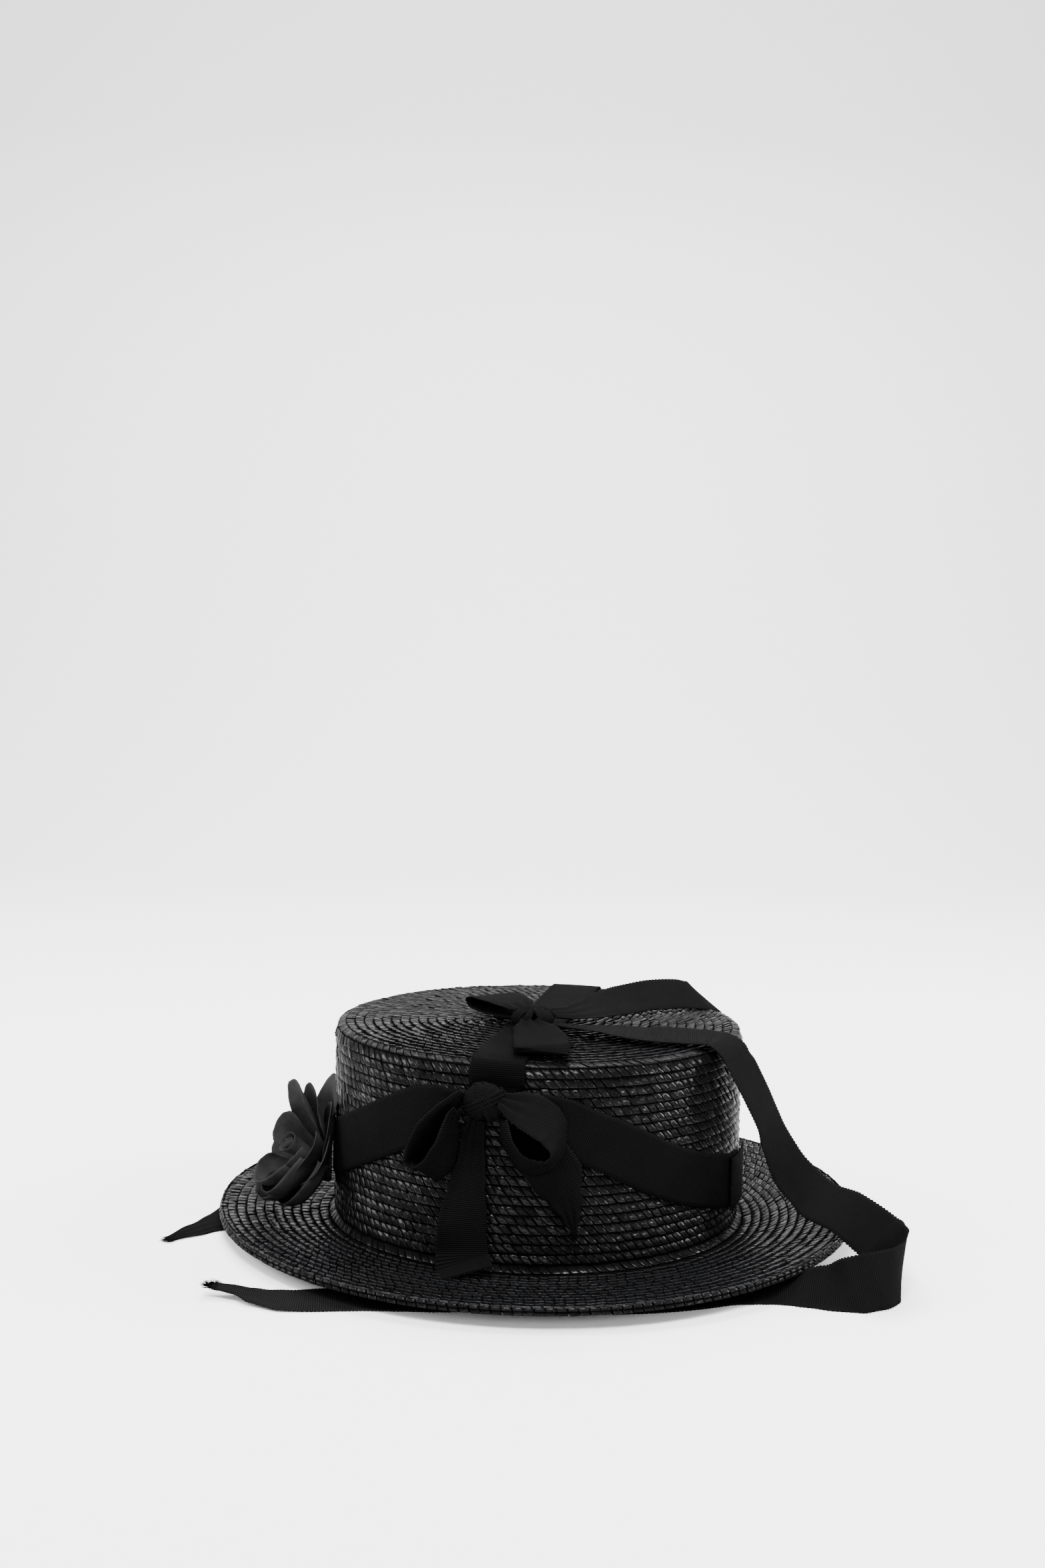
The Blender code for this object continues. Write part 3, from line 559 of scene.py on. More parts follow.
ribbon = {
    "width": 0.025,
    "layer": 0.0014,
    "lift": 0.0009,
    "floorLift": 0.0005,
    "thick": 0.0005,
    "step": 0.00033,
    "columns": 12,
    "scallop": 0.00165,
    "scallopDepth": 0.00026,
    "rib": 0.00092,
    "pleat": 0.00128,
    "pleatBelow": 0.92,  # the share of the width under which pleats show
    "pleats": 3,
    "pleatStart": 0.8,
    "aboveFloor": 0.6,  # in thicknesses
    "black": (0.0004, 0.0004, 0.0004),
    "grey": (0.0032, 0.0032, 0.0033),
}


def spotPlace(spot):
    stacked = spot.over * ribbon["layer"] + spot.out * ribbon["width"]
    lift = ribbon["lift"] + stacked
    if spot.zone == "top":
        point = Vector((spot.a * hat["halfLength"], spot.b * hat["halfWidth"], topLevel + lift))
        return point, upwards, Matrix.Identity(3)
    out = outward(spot.a)
    axes = Matrix((upwards.cross(out), out, upwards)).transposed()
    if spot.zone == "wall":
        return oval(spot.a, 0) + out * lift + upwards * (hat["floorGap"] + spot.b * hat["height"]), out, axes
    if spot.zone == "edge":
        turn = radians(90 * spot.b)
        normal = out * cos(turn) + upwards * sin(turn)
        point = oval(spot.a, 0) - out * hat["edge"] + normal * (hat["edge"] + lift)
        return point + upwards * (topLevel - hat["edge"]), normal, axes
    offset = spot.b * hat["brim"]
    level = ribbon["floorLift"] + stacked
    if spot.zone == "brim":
        level = brimUnderside(spot.a, min(offset, hat["brim"])) + hat["wall"] + lift
    return oval(spot.a, 0) + out * offset + upwards * level, upwards, axes


def curveAt(values, marks, at):  # a centripetal Catmull-Rom curve through four values
    a, b, c, d = marks
    p = values[0] * ((b - at) / (b - a)) + values[1] * ((at - a) / (b - a))
    q = values[1] * ((c - at) / (c - b)) + values[2] * ((at - b) / (c - b))
    r = values[2] * ((d - at) / (d - c)) + values[3] * ((at - c) / (d - c))
    s = p * ((c - at) / (c - a)) + q * ((at - a) / (c - a))
    t = q * ((d - at) / (d - b)) + r * ((at - b) / (d - b))
    return s * ((c - at) / (c - b)) + t * ((at - b) / (c - b))


def ribbonStops(spots):
    # where the ribbon passes: the spot (a point between two zones), the direction across it, and its width's share
    placed = [spotPlace(spot) for spot in spots]
    points = [p for p, _, _ in placed]
    across = []
    for i, (spot, (_, normal, axes)) in enumerate(zip(spots, placed)):
        along = (points[min(i + 1, len(points) - 1)] - points[max(i - 1, 0)]).normalized()
        side = normal.cross(along) if spot.turn is None else axes @ Vector(spot.turn)
        side = (side - along * side.dot(along)).normalized()
        if across and side.dot(across[-1]) < 0:
            side.negate()
        across.append(side)
    shares = [Vector((spot.a, spot.b, spot.out, spot.over)) for spot in spots]
    marks = [0]
    for p, q in zip(points, points[1:]):
        marks.append(marks[-1] + (q - p).length ** 0.5)
    stops = []
    for i, (spot, after) in enumerate(zip(spots, spots[1:])):
        same = spot.zone == after.zone
        values = shares if same else points
        gap = marks[i + 1] - marks[i]
        four = [values[i] * 2 - values[i + 1], values[i], values[i + 1], values[i + 1] * 2 - values[i]]
        at = [marks[i] - gap, marks[i], marks[i + 1], marks[i + 1] + gap]
        if i > 0 and (not same or spots[i - 1].zone == spot.zone):
            four[0], at[0] = values[i - 1], marks[i - 1]
        if i + 2 < len(spots) and (not same or spots[i + 2].zone == spot.zone):
            four[3], at[3] = values[i + 2], marks[i + 2]
        steps = max(2, round((points[i + 1] - points[i]).length / ribbon["step"]))
        for number in range(steps):
            share = number / steps
            where = curveAt(four, at, marks[i] + gap * share)
            if same:
                a, b, out, over = where
                where = Spot(spot.zone, a, b, out, turn=spot.turn or after.turn, over=over)
            smooth = share * share * (3 - 2 * share)
            wide = spot.wide + (after.wide - spot.wide) * smooth
            stops.append((where, across[i].slerp(across[i + 1], smooth), wide))
    stops.append((spots[-1], across[-1], spots[-1].wide))
    return stops


def bendsRound(where):  # a flat ribbon bends with the wall
    return not isinstance(where, Vector) and where.turn is None and where.zone in ("wall", "edge")


def beside(where, side, shift):  # the point beside a stop
    if isinstance(where, Vector):
        return where + side * shift
    point, _, axes = spotPlace(where)
    if not bendsRound(where):
        return point + side * shift
    turn = radians(where.a)
    radius = Vector((hat["halfLength"] * sin(turn), hat["halfWidth"] * cos(turn))).length
    local = axes.transposed() @ side * shift
    height = local.z / hat["height"] if where.zone == "wall" else 0
    return spotPlace(where._replace(a=where.a + degrees(local.x / radius), b=where.b + height))[0]


def ribbonFinish(name, light=1, paleFrom=None):
    # matt black petersham: ribs across it, small loops along its edges; light scales its colour; paleFrom is where
    # a far end gets lighter
    finish = Finish(name, Specular_IOR_Level=0.012)
    across, along, _ = finish.parts("place")
    rib = (along * (2 * pi / ribbon["rib"])).sine() * 0.5 + 0.5
    weave = finish.noise(finish.point(across * 900, along * 2400), 2)
    dust = finish.noise(finish.point(across * 60, along * 60, 3), 3)
    edge = finish.ramp((across / (ribbon["width"] / 2)).size(), [(0.90, 0), (0.97, 1)])
    # the ribs' lit and shaded sides are painted into the colour, as well as bumped
    shade = rib * 0.50 + weave * 0.28 + dust * 0.22 + edge * 0.12
    shown = finish.ramp(shade, [(0.15, 0), (0.95, 1)])
    if paleFrom:
        shown = shown * (0.5 + finish.ramp(along, [(paleFrom, 0), (paleFrom + 0.06, 0.5)]))
    black, grey = [tuple(c * light for c in ribbon[tone]) for tone in ("black", "grey")]
    finish.colour(shown, black, grey)
    finish.show("Roughness", 0.78 + weave * 0.2)
    finish.bump(rib * 0.8 + weave * 0.3, 0.6, 0.0002)
    return finish


petersham = ribbonFinish("petersham", 1.6)
# the copy on the crown's top is painted darker, as shade
petershamTop = ribbonFinish("petershamTop", 0.85)
petershamTail = ribbonFinish("petershamTail", 3.2, 0.42)


fray = {
    "spacing": 0.00022,
    "jitter": (0.25, 0.30, 0.55),
    "smallest": (0.8, 0.25, 0.8),
    "largest": (1.2, 1, 1.2),
    "thick": 0.00013,
    "taper": 0.4,
    "bend": 0.10,
    "rise": 0.12,
    "rowGap": 5,
    "seed": 5,
}


def threadObject(length):  # one loose thread, pointing along Y and bent a little
    lines = []
    for k in range(6):
        share = k / 5
        bent = (fray["bend"] * sin(share * 4), share, fray["rise"] * share * share)
        radius = fray["thick"] * (1 - fray["taper"] * share)
        corners = [radians(120 * corner) for corner in range(3)]
        lines.append([Vector(bent) * length + Vector((cos(a), 0, sin(a))) * radius for a in corners])
    return newObject("thread", gridMesh("thread", lines, True))


def frayed(name, rows, side, normal, ahead, length):  # threads out of a ribbon's cut end
    if normal.cross(side).dot(ahead) < 0:
        normal = -normal
    across = len(rows[0])
    points = [point for row in rows for point in row]
    edges = [(i, i + 1) for i in range(len(points) - 1) if (i + 1) % across]
    guide = guideObject(name, points, edges, list(side) * len(points), list(normal) * len(points))
    piece = growOn(guide, threadObject(length), fray, fray["seed"], petersham)
    for vert in piece.data.vertices:
        vert.co.z = max(vert.co.z, fray["thick"])
    return fitPiece(piece, "ribbon")


def ribbonPiece(name, spots, node, held, restsOn, finish, fringe=None):
    # the strip: scalloped edges, ribs from its place attribute, pleats where a knot gathers it
    stops = ribbonStops(spots)
    middles = [beside(where, side, 0) for where, side, _ in stops]
    half = ribbon["width"] / 2
    travel = 0
    lines, places = [], []
    for i, (where, side, wide) in enumerate(stops):
        if i:
            travel += (middles[i] - middles[i - 1]).length
        along = (middles[min(i + 1, len(middles) - 1)] - middles[max(i - 1, 0)]).normalized()
        normal = side.cross(along).normalized()
        if bendsRound(where) and normal.dot(spotPlace(where)[1]) < 0:
            normal = -normal
        gather = max(0, ribbon["pleatBelow"] - wide)
        scallop = 1 + ribbon["scallopDepth"] / half * sin(2 * pi * travel / ribbon["scallop"])
        line, marks = [], []
        for column in range(ribbon["columns"] + 1):
            share = 2 * column / ribbon["columns"] - 1
            shift = half * wide * share * (scallop if abs(share) == 1 else 1)
            pleat = ribbon["pleat"] * gather * (1 + cos(ribbon["pleats"] * pi * share + ribbon["pleatStart"]))
            point = beside(where, side, shift) + normal * pleat
            point.z = max(point.z, ribbon["thick"] * ribbon["aboveFloor"])
            line.append(point)
            marks.append((half * share, travel, 0))
        lines.append(line)
        places.append(marks)
    piece = thicken(keepPiece(name, gridMesh(name, lines, False, places), finish), ribbon["thick"])
    threads = []
    if fringe:
        length, rows = fringe
        cutEnd = lines[: -fray["rowGap"] * rows : -fray["rowGap"]]
        threads = [frayed(name + "Fray", cutEnd, side, normal, along, length)]
    fitPiece(piece, "ribbon", node)
    print(name, "is", round(travel * 1000), "mm long,", len(piece.data.polygons), "faces")


def leg(zone, *rows, **shared):  # spots in one zone: a, b, out, wide and turn of each, and what all of them share
    return [Spot(zone, *row, **shared) for row in rows]


routes = {
    "crownRibbon": [
        *leg("wall", (-101.1, 0.82, 0, 0.45), (-101.1, 0.86, 0, 0.6), (-101.1, 0.9)),
        *leg("edge", (-101.1, 0), (-101.1, 0.5), (-101.1, 1)),
        *leg("top", (-0.11, -0.523), (-0.008, -0.14), (0.1, 0.35)),
        *leg("edge", (76.9, 1), (76.9, 0.5), (76.9, 0)),
        *leg("wall", (76.9, 0.85), (76.9, 0.45)),
    ],
    "sideBand": [
        *leg("wall", (-110.6, 0.797, 0, 0.4), (-112.7, 0.792, 0, 0.6), (-116.2, 0.771, 0, 0.85), (-122.2, 0.73),
             (-133.8, 0.63), (-144.6, 0.539), (-157.3, 0.446), (-168, 0.385), (-182, 0.36), (-198, 0.38),
             (-215, 0.44), (-240, 0.53), (-262, 0.595), (-268, 0.605)),
        *leg("wall", (-274, 0.612), (-283, 0.615), (-293, 0.6), over=1),
        *leg("wall", (-299, 0.585), (-310, 0.53), (-322, 0.44), (-333, 0.32), (-342, 0.27)),
    ],
    "sideBandRight": [
        *leg("wall", (-96.8, 0.792, 0, 0.4), (-94.3, 0.783, 0, 0.6), (-90.2, 0.76, 0, 0.85), (-84.3, 0.718),
             (-78, 0.666), (-70.4, 0.605), (-63.2, 0.539), (-55.5, 0.468), (-45, 0.394), (-33.9, 0.338),
             (-23.6, 0.3), (-17, 0.29)),
    ],
    "tabNear": [
        *leg("wall", (-25, 0.285), (-19, 0.285), (-13, 0.285), (-7, 0.285), over=1),
    ],
    "sideLoopLeft": [
        *leg("wall", (-109.2, 0.866, 0.24, 0.35, (0, 0.8, 0.6))),
        *leg("wall", (-110.7, 0.829, 0.36, 0.6), (-112.6, 0.785, 0.45, 0.8), (-114.8, 0.721, 0.52),
             (-116.7, 0.644, 0.54), (-118.1, 0.565, 0.58), (-117.7, 0.52, 0.6), (-116.4, 0.503, 0.6),
             (-114.1, 0.529, 0.6), (-111.9, 0.608, 0.6), (-110.7, 0.689, 0.56, 0.9), (-110.1, 0.77, 0.48, 0.6),
             turn=(0, 0.82, 0.57)),
        *leg("wall", (-109.4, 0.8, 0.4, 0.35, (0, 0.8, 0.6))),
    ],
    "sideLoopRight": [
        *leg("wall", (-99, 0.857, 0.37, 0.35, (-0.15, 0.75, -0.6)),
             (-94.8, 0.837, 0.46, 0.62, (-0.18, 0.68, -0.7)), (-92, 0.822, 0.56, 0.78, (-0.22, 0.72, -0.64)),
             (-89, 0.787, 0.61, 0.9, (-0.3, 0.8, -0.5)), (-87, 0.747, 0.63, 1, (-0.31, 0.86, -0.41)),
             (-85.8, 0.67, 0.64, 1, (-0.34, 0.92, -0.1)), (-86.9, 0.61, 0.64, 1, (-0.3, 0.9, 0.28)),
             (-88.7, 0.58, 0.64, 1, (-0.2, 0.86, 0.47)), (-91.2, 0.572, 0.63, 1, (-0.04, 0.83, 0.55)),
             (-93.5, 0.584, 0.61, 1, (0.1, 0.83, 0.54)), (-95.9, 0.637, 0.58, 0.88, (0.26, 0.87, 0.4)),
             (-97.5, 0.701, 0.54, 0.74, (0.4, 0.9, 0.1)), (-97.9, 0.769, 0.48, 0.4, (0.4, 0.85, -0.1))),
    ],
    "sideTailLeft": [
        *leg("wall", (-105.8, 0.734, 0.08, 0.3, (1, 0, 0)), (-106.9, 0.64, 0.04, 0.42, (1, 0, 0)),
             (-107.2, 0.54, 0.05, 0.5, (0.99, -0.1, 0)), (-107.9, 0.44, 0.1, 0.66, (1, 0, 0)),
             (-108.4, 0.26, 0.26, 0.86, (0.93, -0.35, 0))),
        *leg("brim", (-108.4, 0.15, 0.34, 0.94, (0.96, -0.2, 0)), (-107.6, 0.19, 0.16, 0.96, (0.98, 0.15, 0)),
             (-105.9, 0.3, 0.08, 0.96, (0.91, 0.4, 0))),
    ],
    "sideTailRight": [
        *leg("wall", (-97.8, 0.703, 0.03, 0.3), (-93.6, 0.646, 0.02, 0.7), (-89.5, 0.584, 0.02, 0.95),
             (-85.4, 0.482, 0.02, 0.95), (-83.3, 0.385, 0.02, 0.62), (-81.6, 0.288, 0.02, 0.32),
             (-80.8, 0.215, 0.01, 0.08), over=1),
    ],
    "topLoopLeft": [
        *leg("top", (-0.074, -0.213, 0.15, 0.4, (0.8, 0.6, 0)), (-0.131, -0.07, 0.14, 0.8, (0.86, 0.51, 0))),
        *leg("top", (-0.191, 0.081, 0.12), (-0.241, 0.203, 0.12), (-0.258, 0.244, 0.2), (-0.243, 0.215, 0.29),
             (-0.191, 0.093, 0.34), turn=(0.88, 0.47, 0)),
        *leg("top", (-0.136, -0.047, 0.36, 0.85, (0.86, 0.51, 0)), (-0.095, -0.151, 0.35, 0.6, (0.82, 0.57, 0)),
             (-0.072, -0.208, 0.34, 0.4, (0.8, 0.6, 0))),
    ],
    "topLoopFront": [
        *leg("top", (-0.04, -0.395, 0.03, 0.45, (0.97, -0.2, 0)),
             (-0.015, -0.558, 0.03, 0.85, (0.96, -0.25, 0)), (0.002, -0.721, 0.03, 1, (0.95, -0.3, 0)), over=1),
        *leg("top", (0.004, -0.89, 0.03), (0.004, -0.93, 0.09), (0.003, -0.895, 0.15), turn=(0.95, -0.31, 0),
             over=1),
        *leg("top", (0.001, -0.733, 0.17, 1, (0.95, -0.3, 0)), (-0.02, -0.558, 0.2, 0.85, (0.96, -0.25, 0)),
             (-0.043, -0.413, 0.22, 0.45, (0.97, -0.2, 0)), over=1),
    ],
    "longTailRight": [
        *leg("top", (0.085, -0.308, 0.16, 0.35, (0.1, 0.98, -0.12)),
             (0.156, -0.337, 0.14, 0.5, (0.12, 0.98, -0.12)), (0.281, -0.372, 0.13, 0.75, (0.15, 0.98, -0.08)),
             (0.382, -0.4, 0.11, 0.9, (0.15, 0.98, 0)), (0.477, -0.433, 0.09, 1, (0.12, 0.99, 0)),
             (0.573, -0.453, 0.1, 1, (0.1, 0.98, 0.06)), (0.673, -0.465, 0.09, 1, (0.2, 0.97, 0.05)),
             (0.769, -0.483, 0.09, 1, (0.38, 0.92, 0.02))),
        *leg("edge", (-30.7, 1, 0.05), (-30.7, 0.5, 0.12), (-30.7, 0, 0.28), turn=(1, 0, 0)),
        *leg("wall", (-29.9, 0.863, 0.48, 1, (1, 0, 0)), (-25.6, 0.678, 0.7, 1, (0.99, 0.05, -0.09)),
             (-23.2, 0.564, 0.79, 1, (0.98, 0.15, 0)), (-20, 0.381, 1.06, 1, (0.91, 0.35, 0.21)),
             (-18.7, 0.295, 1.33, 1, (0.85, 0.4, 0.33)), (-19.3, 0.24, 1.61, 1, (0.8, 0.38, 0.46)),
             (-21.8, 0.225, 2.17, 1, (0.82, 0.1, 0.57))),
        *leg("floor", (-23.8, 1.341, 0.6, 1, (0.68, 0.2, 0.7)), (-25.6, 1.501, 0.48, 1, (0.42, 0.15, 0.89)),
             (-30.3, 1.667, 0.48, 1, (0.15, 0.05, 0.98)), (-34.3, 1.725, 0.48, 1, (0, -0.1, 0.99)),
             (-37.6, 1.662, 0.47, 1, (0, -0.25, 0.96)), (-39.5, 1.517, 0.36, 1, (0.15, -0.66, 0.73)),
             (-40.9, 1.268, 0.16, 1, (0.3, -0.9, 0.3)), (-42.2, 1.094, 0.11, 1, (0.3, -0.93, 0.2)),
             (-44.2, 0.94, 0.05, 1, (0.25, -0.96, 0.08)), (-47.8, 0.807), (-52.1, 0.705), (-58.8, 0.647),
             (-65.4, 0.601), (-76.1, 0.532), (-89.5, 0.471), (-102.9, 0.52), (-109.2, 0.598), (-116, 0.696),
             (-122.4, 0.832), (-128, 1.034, 0, 0.95), (-132.3, 1.233, 0.02, 0.85), (-136, 1.352, 0.05, 0.6),
             (-138.9, 1.43, 0.09, 0.34), (-141.6, 1.547, 0.12, 0.2)),
    ],
    "longTailBack": [
        *leg("top", (0.065, -0.209, 0.29, 0.38, (-0.3, 0.9, 0.2)),
             (0.151, -0.14, 0.24, 0.52, (-0.35, 0.9, 0.2)), (0.251, -0.012, 0.21, 0.75, (-0.45, 0.86, 0.22)),
             (0.362, 0.151, 0.21, 0.95, (-0.42, 0.86, 0.28)), (0.482, 0.291, 0.22, 1, (-0.25, 0.91, 0.32)),
             (0.623, 0.378, 0.24, 1, (-0.1, 0.91, 0.4)), (0.744, 0.424, 0.23, 1, (-0.08, 0.91, 0.38)),
             (0.829, 0.459, 0.17, 1, (-0.15, 0.9, 0.3))),
        *leg("edge", (31, 0.6, 0.16, 1, (0.92, 0, 0.22)), (35, 0, 0.2, 1, (1, 0, 0.08))),
        *leg("wall", (40.4, 0.72, 0.3), (45, 0.45, 0.44), (49, 0.25, 0.6), turn=(1, 0, 0)),
        *leg("brim", (54, 0.52, 0.26, 1, (1, 0, 0)), (59.5, 0.8, 0.11), (65.5, 1.06, 0.1)),
        *leg("floor", (71.5, 1.28, 0.2), (77, 1.42, 0.05), (82, 1.46), (91, 1.34), (100.5, 1.1),
             (112.5, 0.86), (124.5, 0.72), (137.5, 0.7), (151.5, 0.7), (163.3, 0.73), (177.6, 0.781),
             (187.9, 0.965, 0, 0.95), (191.7, 1.207, 0.01, 0.6), (195.4, 1.48, 0.04, 0.22)),
    ],
}
routes["tabFar"] = [spot._replace(a=-spot.a) for spot in routes["tabNear"]]

# each ribbon: its node, how it is held and by what, its finish, and the length and rows of its loose threads
ribbons = {
    "crownRibbon": ("crown_ribbon", "stretched", "straw_body", petershamTop),
    "sideBand": ("side_band", "stretched", "straw_body", petersham),
    "sideBandRight": ("side_band_right", "stretched", "straw_body", petersham),
    "tabNear": ("tab_near", "stretched", "straw_body", petersham),
    "tabFar": ("tab_far", "stretched", "straw_body", petersham),
    "sideLoopLeft": ("side_loop_left", "gathered", "side_knot", petersham),
    "sideLoopRight": ("side_loop_right", "gathered", "side_knot", petersham),
    "sideTailLeft": ("side_tail_left", "hung", "side_knot", petersham, (0.0018, 1)),
    "sideTailRight": ("side_tail_right", "hung", "side_knot", petersham, (0.004, 2)),
    "topLoopLeft": ("top_loop_left", "gathered", "top_knot", petershamTop),
    "topLoopFront": ("top_loop_front", "gathered", "top_knot", petershamTop),
    "longTailRight": ("long_tail_right", "hung", "top_knot", petershamTail, (0.006, 3)),
    "longTailBack": ("long_tail_back", "hung", "top_knot", petersham, (0.004, 2)),
}
for name, about in ribbons.items():
    ribbonPiece(name, routes[name], *about)

# the knots: ribbon wound over the CAD part's lump
knot = {
    "size": (0.019, 0.016, 0.010),
    "sink": 0.0005,
    "flatBelow": -0.5,  # the underside is cut level there, as a share of the half height
    "smallest": 0.05,
    "fold": 0.07,
    "folds": 3,
    "foldTwist": 1.5,
    "thick": 1.4,  # in ribbon thicknesses
    "mean": 0.0075,
    "flat": (0.010, 0.036),
    "grid": (64, 12),
    # each turn: its lean, how far from the middle it starts and ends, and how far out it puffs
    "turns": [(-18, -0.97, 0.20, 1.00), (24, -0.20, 0.97, 1.05), (-58, -0.32, 0.32, 1.10)],
}


def knotPiece(name, spot, node):
    middle, normal, _ = spotPlace(spot)
    middle = middle + normal * (knot["size"][2] / 2 - knot["sink"])
    right = Vector((1, 0, 0))
    right = (right - normal * right.dot(normal)).normalized()
    over = normal.cross(right)
    for number, (lean, low, high, puff) in enumerate(knot["turns"]):
        turn = radians(lean)
        axisA = right * cos(turn) + over * sin(turn)
        axisB = over * cos(turn) - right * sin(turn)

        def turnSpot(along, across):
            wound = 2 * pi * along
            share = low + (high - low) * across
            fold = 1 + knot["fold"] * cos(across * knot["folds"] * 2 * pi + wound * knot["foldTwist"] + number)
            ring = max(knot["smallest"], 1 - share * share) ** 0.5 * fold * puff
            spread = axisA * share + (axisB * cos(wound) + normal * sin(wound)) * ring
            shares = spread.dot(right), spread.dot(over), max(knot["flatBelow"], spread.dot(normal))
            x, y, z = (s * size / 2 for s, size in zip(shares, knot["size"]))
            place = (ribbon["width"] / 2 * (across * 2 - 1), wound * knot["mean"], 0)
            return middle + right * x + over * y + normal * z, place

        piece = keepPiece(f"{name}Turn{number + 1}", ruledMesh(name, knot["grid"], turnSpot), petersham)
        fitPiece(thicken(piece, ribbon["thick"] * knot["thick"]), "ribbon", *([] if number else [node]))


knotPiece("sideKnot", Spot("wall", -103.3, 0.836, over=1), "side_knot")
knotPiece("topKnot", Spot("top", -0.031, -0.296, over=1), "top_knot")
print("ribbons tied")

# The rose. A petal: degrees round the rose, degrees it opens, length and width as shares; then how far its tip
# rolls back and its sides cup inwards (degrees), and how much it waves
Petal = namedtuple("Petal", "around open long wide roll cup wave")
rose = {
    "angle": -175,
    "height": 0.255,
    "facing": (0.26, 0.80, 0.52),
    "lift": 0.0020,
    "start": 0.009,
    "long": 0.040,
    "wide": 0.028,
    "bend": 8,
    "rollFrom": 0.72,
    "wrap": 52,
    "round": 0.26,
    "foot": 0.45,  # a petal's width at its foot, and how much of it comes above that
    "belly": 0.62,
    "uncup": 0.4,
    "ragged": (0.02, 0.012),
    "waves": (1.6, 2.4),
    "share": 0.75,  # a petal's cut area, as a share of its length times its width
    "thick": 0.00035,
    "grid": (26, 24),
    "dark": (0.0050, 0.0050, 0.0052),
    "pale": (0.0320, 0.0320, 0.0325),
    "petals": [
        (228, 78, 0.84, 1.55, -8, 8, 0.5), (312, 78, 0.80, 1.50, -8, 12, 0.5),
        (86, 66, 1.13, 1.05, 6, 6, 0.2), (268, 65, 0.92, 1.60, -6, 12, 0.5),
        (6, 66, 0.80, 1.15, 4, 8, 0.5), (178, 68, 0.88, 1.45, -2, 6, 0.5),
        (56, 64, 0.92, 0.95, 2, 3, 0.4), (150, 37, 0.82, 1.25, 2, 8, 0.5),
        (304, 60, 0.90, 1.50, -6, 14, 0.5), (96, 54, 1.03, 0.80, 2, 3, 0.2),
        (0, 54, 0.80, 1.05, 2, 9, 0.5), (270, 50, 0.90, 1.45, -4, 14, 0.5),
        (109, 46, 1.12, 0.72, 2, 3, 0.3), (328, 42, 0.66, 1.15, -4, 9, 0.5),
    ],
}
out = outward(rose["angle"])
base, _, axes = spotPlace(Spot("wall", rose["angle"], rose["height"], over=1))
base = base + out * rose["lift"]
facing = (axes @ Vector(rose["facing"])).normalized()
right = upwards.cross(facing).normalized()
over = facing.cross(right)


def clothFinish():
    finish = Finish("roseCloth", Specular_IOR_Level=0.06)
    across, along, _ = finish.parts("place")
    weave = (across * 9000).sine() * (along * 9000).sine() * 0.5 + 0.5
    toneShare = finish.noise(finish.point(across * 160, along * 160), 4)
    tip = finish.ramp(along / (rose["long"] * 1.05), [(0.80, 0), (1, 1)])
    shade = weave * 0.2 + toneShare * 0.6 + tip * 0.05
    finish.colour(finish.ramp(shade, [(0.15, 0), (0.9, 1)]), rose["dark"], rose["pale"])
    finish.show("Roughness", 0.72 + toneShare * 0.25)
    finish.bump(weave * 0.4 + toneShare, 0.5, 0.0003)
    return finish


def petalPiece(number, petal):
    longest, widest = rose["long"] * petal.long, rose["wide"] * petal.wide

    def petalSpot(along, sideways):
        across = 2 * sideways - 1
        ragged = rose["ragged"][0] * noise.noise((across * 7, number * 3.1, 2))
        ragged += rose["ragged"][1] * noise.noise((across * 23, number, 5))
        quarter = across * pi / 2
        tip = longest * (1 - rose["round"] * (1 - cos(quarter)) + ragged * (along > 0.9))
        reach = rose["start"] + (tip - rose["start"]) * along
        late = max(0, along - rose["rollFrom"]) / (1 - rose["rollFrom"])
        opening = petal.open - rose["bend"] * along * along + petal.roll * late * late
        opening -= petal.cup * across * across * along * (1 - rose["uncup"] * late)
        opening += petal.wave * rose["waves"][0] * along * along * sin(across * 5 + number * 1.7)
        bent = noise.noise((across * 1.6, along * 1.5, number * 5.3))
        opening += petal.wave * rose["waves"][1] * along * bent
        opening = radians(opening)
        rounding = rose["foot"] + rose["belly"] * sin(pi * min(1, along * 1.1) / 1.5)
        turn = widest / 2 * rounding / (reach * sin(opening))
        spread = across + (sin(quarter) - across) * along
        around = radians(petal.around) + spread * min(turn, radians(rose["wrap"]))
        flat = right * cos(around) + over * sin(around)
        point = base + facing * (reach * cos(opening)) + flat * (reach * sin(opening))
        return point, (across * widest / 2, reach, 0)

    piece = keepPiece(f"rosePetal{number:02d}", ruledMesh("petal", rose["grid"], petalSpot), roseCloth)
    fitPiece(thicken(piece, rose["thick"]), "rose_cloth", f"rose_petal_{number:02d}")
    flat = (widest, longest - rose["start"])
    area = flat[0] * flat[1] * rose["share"]


roseCloth = clothFinish()
for number, petal in enumerate(rose["petals"]):
    petalPiece(number + 1, Petal(*petal))

# the bud: one strip rolled up on itself
bud = {
    "turns": 2.6,
    "inner": 0.0012,
    "grows": 0.0042,
    "height": 0.015,
    "wave": 0.0015,
    "waves": 1.3,
    "flare": 0.0006,
    "flares": 2.3,
    "foot": 0.55,
    "long": 0.08,
    "flat": (0.016, 0.052),
    "grid": (96, 8),
}


def budSpot(share, up):
    turn = share * bud["turns"] * 2 * pi
    radius = (bud["inner"] + bud["grows"] * share) * (bud["foot"] + (1 - bud["foot"]) * up)
    radius += bud["flare"] * up * sin(turn * bud["flares"])
    level = rose["start"] + (bud["height"] + bud["wave"] * sin(turn * bud["waves"])) * up
    flat = right * cos(turn) + over * sin(turn)
    return base + facing * level + flat * radius, (share * bud["long"], up * bud["flat"][0], 0)


piece = keepPiece("roseBud", ruledMesh("bud", bud["grid"], budSpot), roseCloth)
fitPiece(thicken(piece, rose["thick"]), "rose_cloth", "rose_bud")

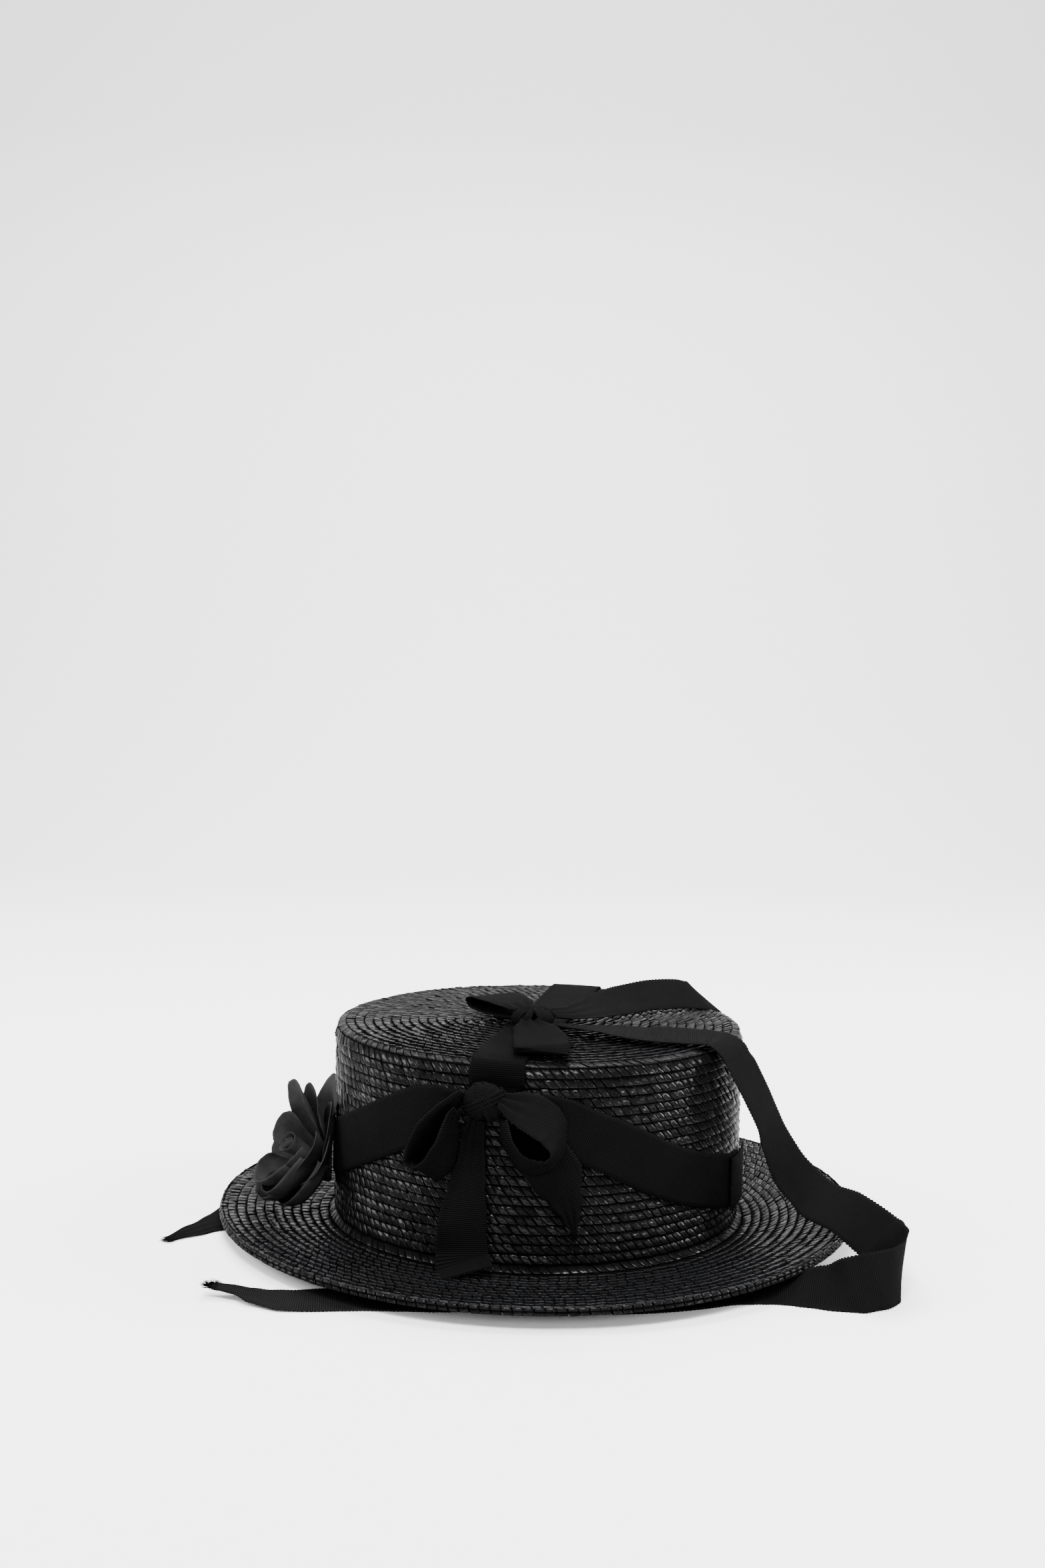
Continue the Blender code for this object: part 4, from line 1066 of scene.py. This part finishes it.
# the calyx that the petals are sewn to: a gathered round of cloth over the CAD dome
calyx = {
    "radius": 0.0083,
    "proud": 0.00002,
    "folds": 11,
    "gather": 0.05,
    "lowest": -18,
    "sweep": 108,
    "long": 0.012,
    "grid": (12, 64),
}
side = upwards.cross(out).normalized()
rise = out.cross(side)


def calyxSpot(level, around):
    turn = 2 * pi * around
    gather = 1 + calyx["gather"] * cos(turn * calyx["folds"]) * (1 - level)
    lean = radians(calyx["lowest"] + calyx["sweep"] * level)
    flat = side * cos(turn) + rise * sin(turn)
    point = base + out * (calyx["radius"] * sin(lean))
    point += flat * (calyx["radius"] * cos(lean) * gather + calyx["proud"])
    return point, (turn * calyx["radius"], level * calyx["long"], 0)


piece = keepPiece("roseCalyx", ruledMesh("calyx", calyx["grid"], calyxSpot, True), roseCloth)
fitPiece(piece, "rose_cloth", "rose_base")
print("rose made")

# floor, backdrop and light
studio = {
    "width": 4,
    "front": -4,
    "back": 1.1,
    "bend": 0.5,
    "height": 2.2,
    "paper": ((0.85, 0.85, 0.85), (0.87, 0.87, 0.872)),
    "sky": 0.35,
    # each light: where, what it looks at, its sides, and its power
    "lights": [
        ((-1.15, 0.00, 0.70), (0, 0, 0.05), (0.6, 0.6), 22),
        ((1.10, 0.10, 0.70), (0, 0, 0.05), (0.30, 0.5), 24),
        ((0, 0.75, 1.45), (0, 0, 0.05), (1, 0.6), 55),
        ((0, -0.9, 2.2), (0, -0.3, 0), (1.2, 0.8), 130),
        ((0.95, -0.85, 0.50), (0.03, -0.05, 0.07), (0.14, 0.30), 6),
        ((-0.5, -1.7, 0.75), (0, 0, 0.06), (1.6, 0.9), 22),
    ],
}
paper = Finish("paper", Roughness=0.9, Specular_IOR_Level=0.1)
grain = paper.noise(paper.node("ShaderNodeTexCoord", output=3), 3, 90)
paper.colour(grain, *studio["paper"])
bends = [(studio["front"], 0), (studio["back"], 0)]
for turn in [radians(degree) for degree in range(6, 91, 6)]:
    bends.append((studio["back"] + studio["bend"] * sin(turn), studio["bend"] * (1 - cos(turn))))
bends.append((studio["back"] + studio["bend"], studio["height"]))
lines = [[Vector((-studio["width"], y, z)), Vector((studio["width"], y, z))] for y, z in bends]
keepPiece("studioSweep", gridMesh("sweep", lines), paper)

world = bpy.data.worlds.new("studio")
bpy.context.scene.world = world
world.use_nodes = True
background = world.node_tree.nodes["Background"].inputs
background["Color"].default_value = (1, 1, 1, 1)
background["Strength"].default_value = studio["sky"]
for number, (place, target, sides, power) in enumerate(studio["lights"]):
    light = bpy.data.lights.new(f"softbox{number + 1}", "AREA")
    light.shape = "RECTANGLE"
    light.size, light.size_y = sides
    light.energy = power
    aim = (Vector(target) - Vector(place)).to_track_quat("-Z", "Y")
    newObject(light.name, light).matrix_world = Matrix.Translation(place) @ aim.to_matrix().to_4x4()
print("studio lit")

bpy.context.view_layer.update()
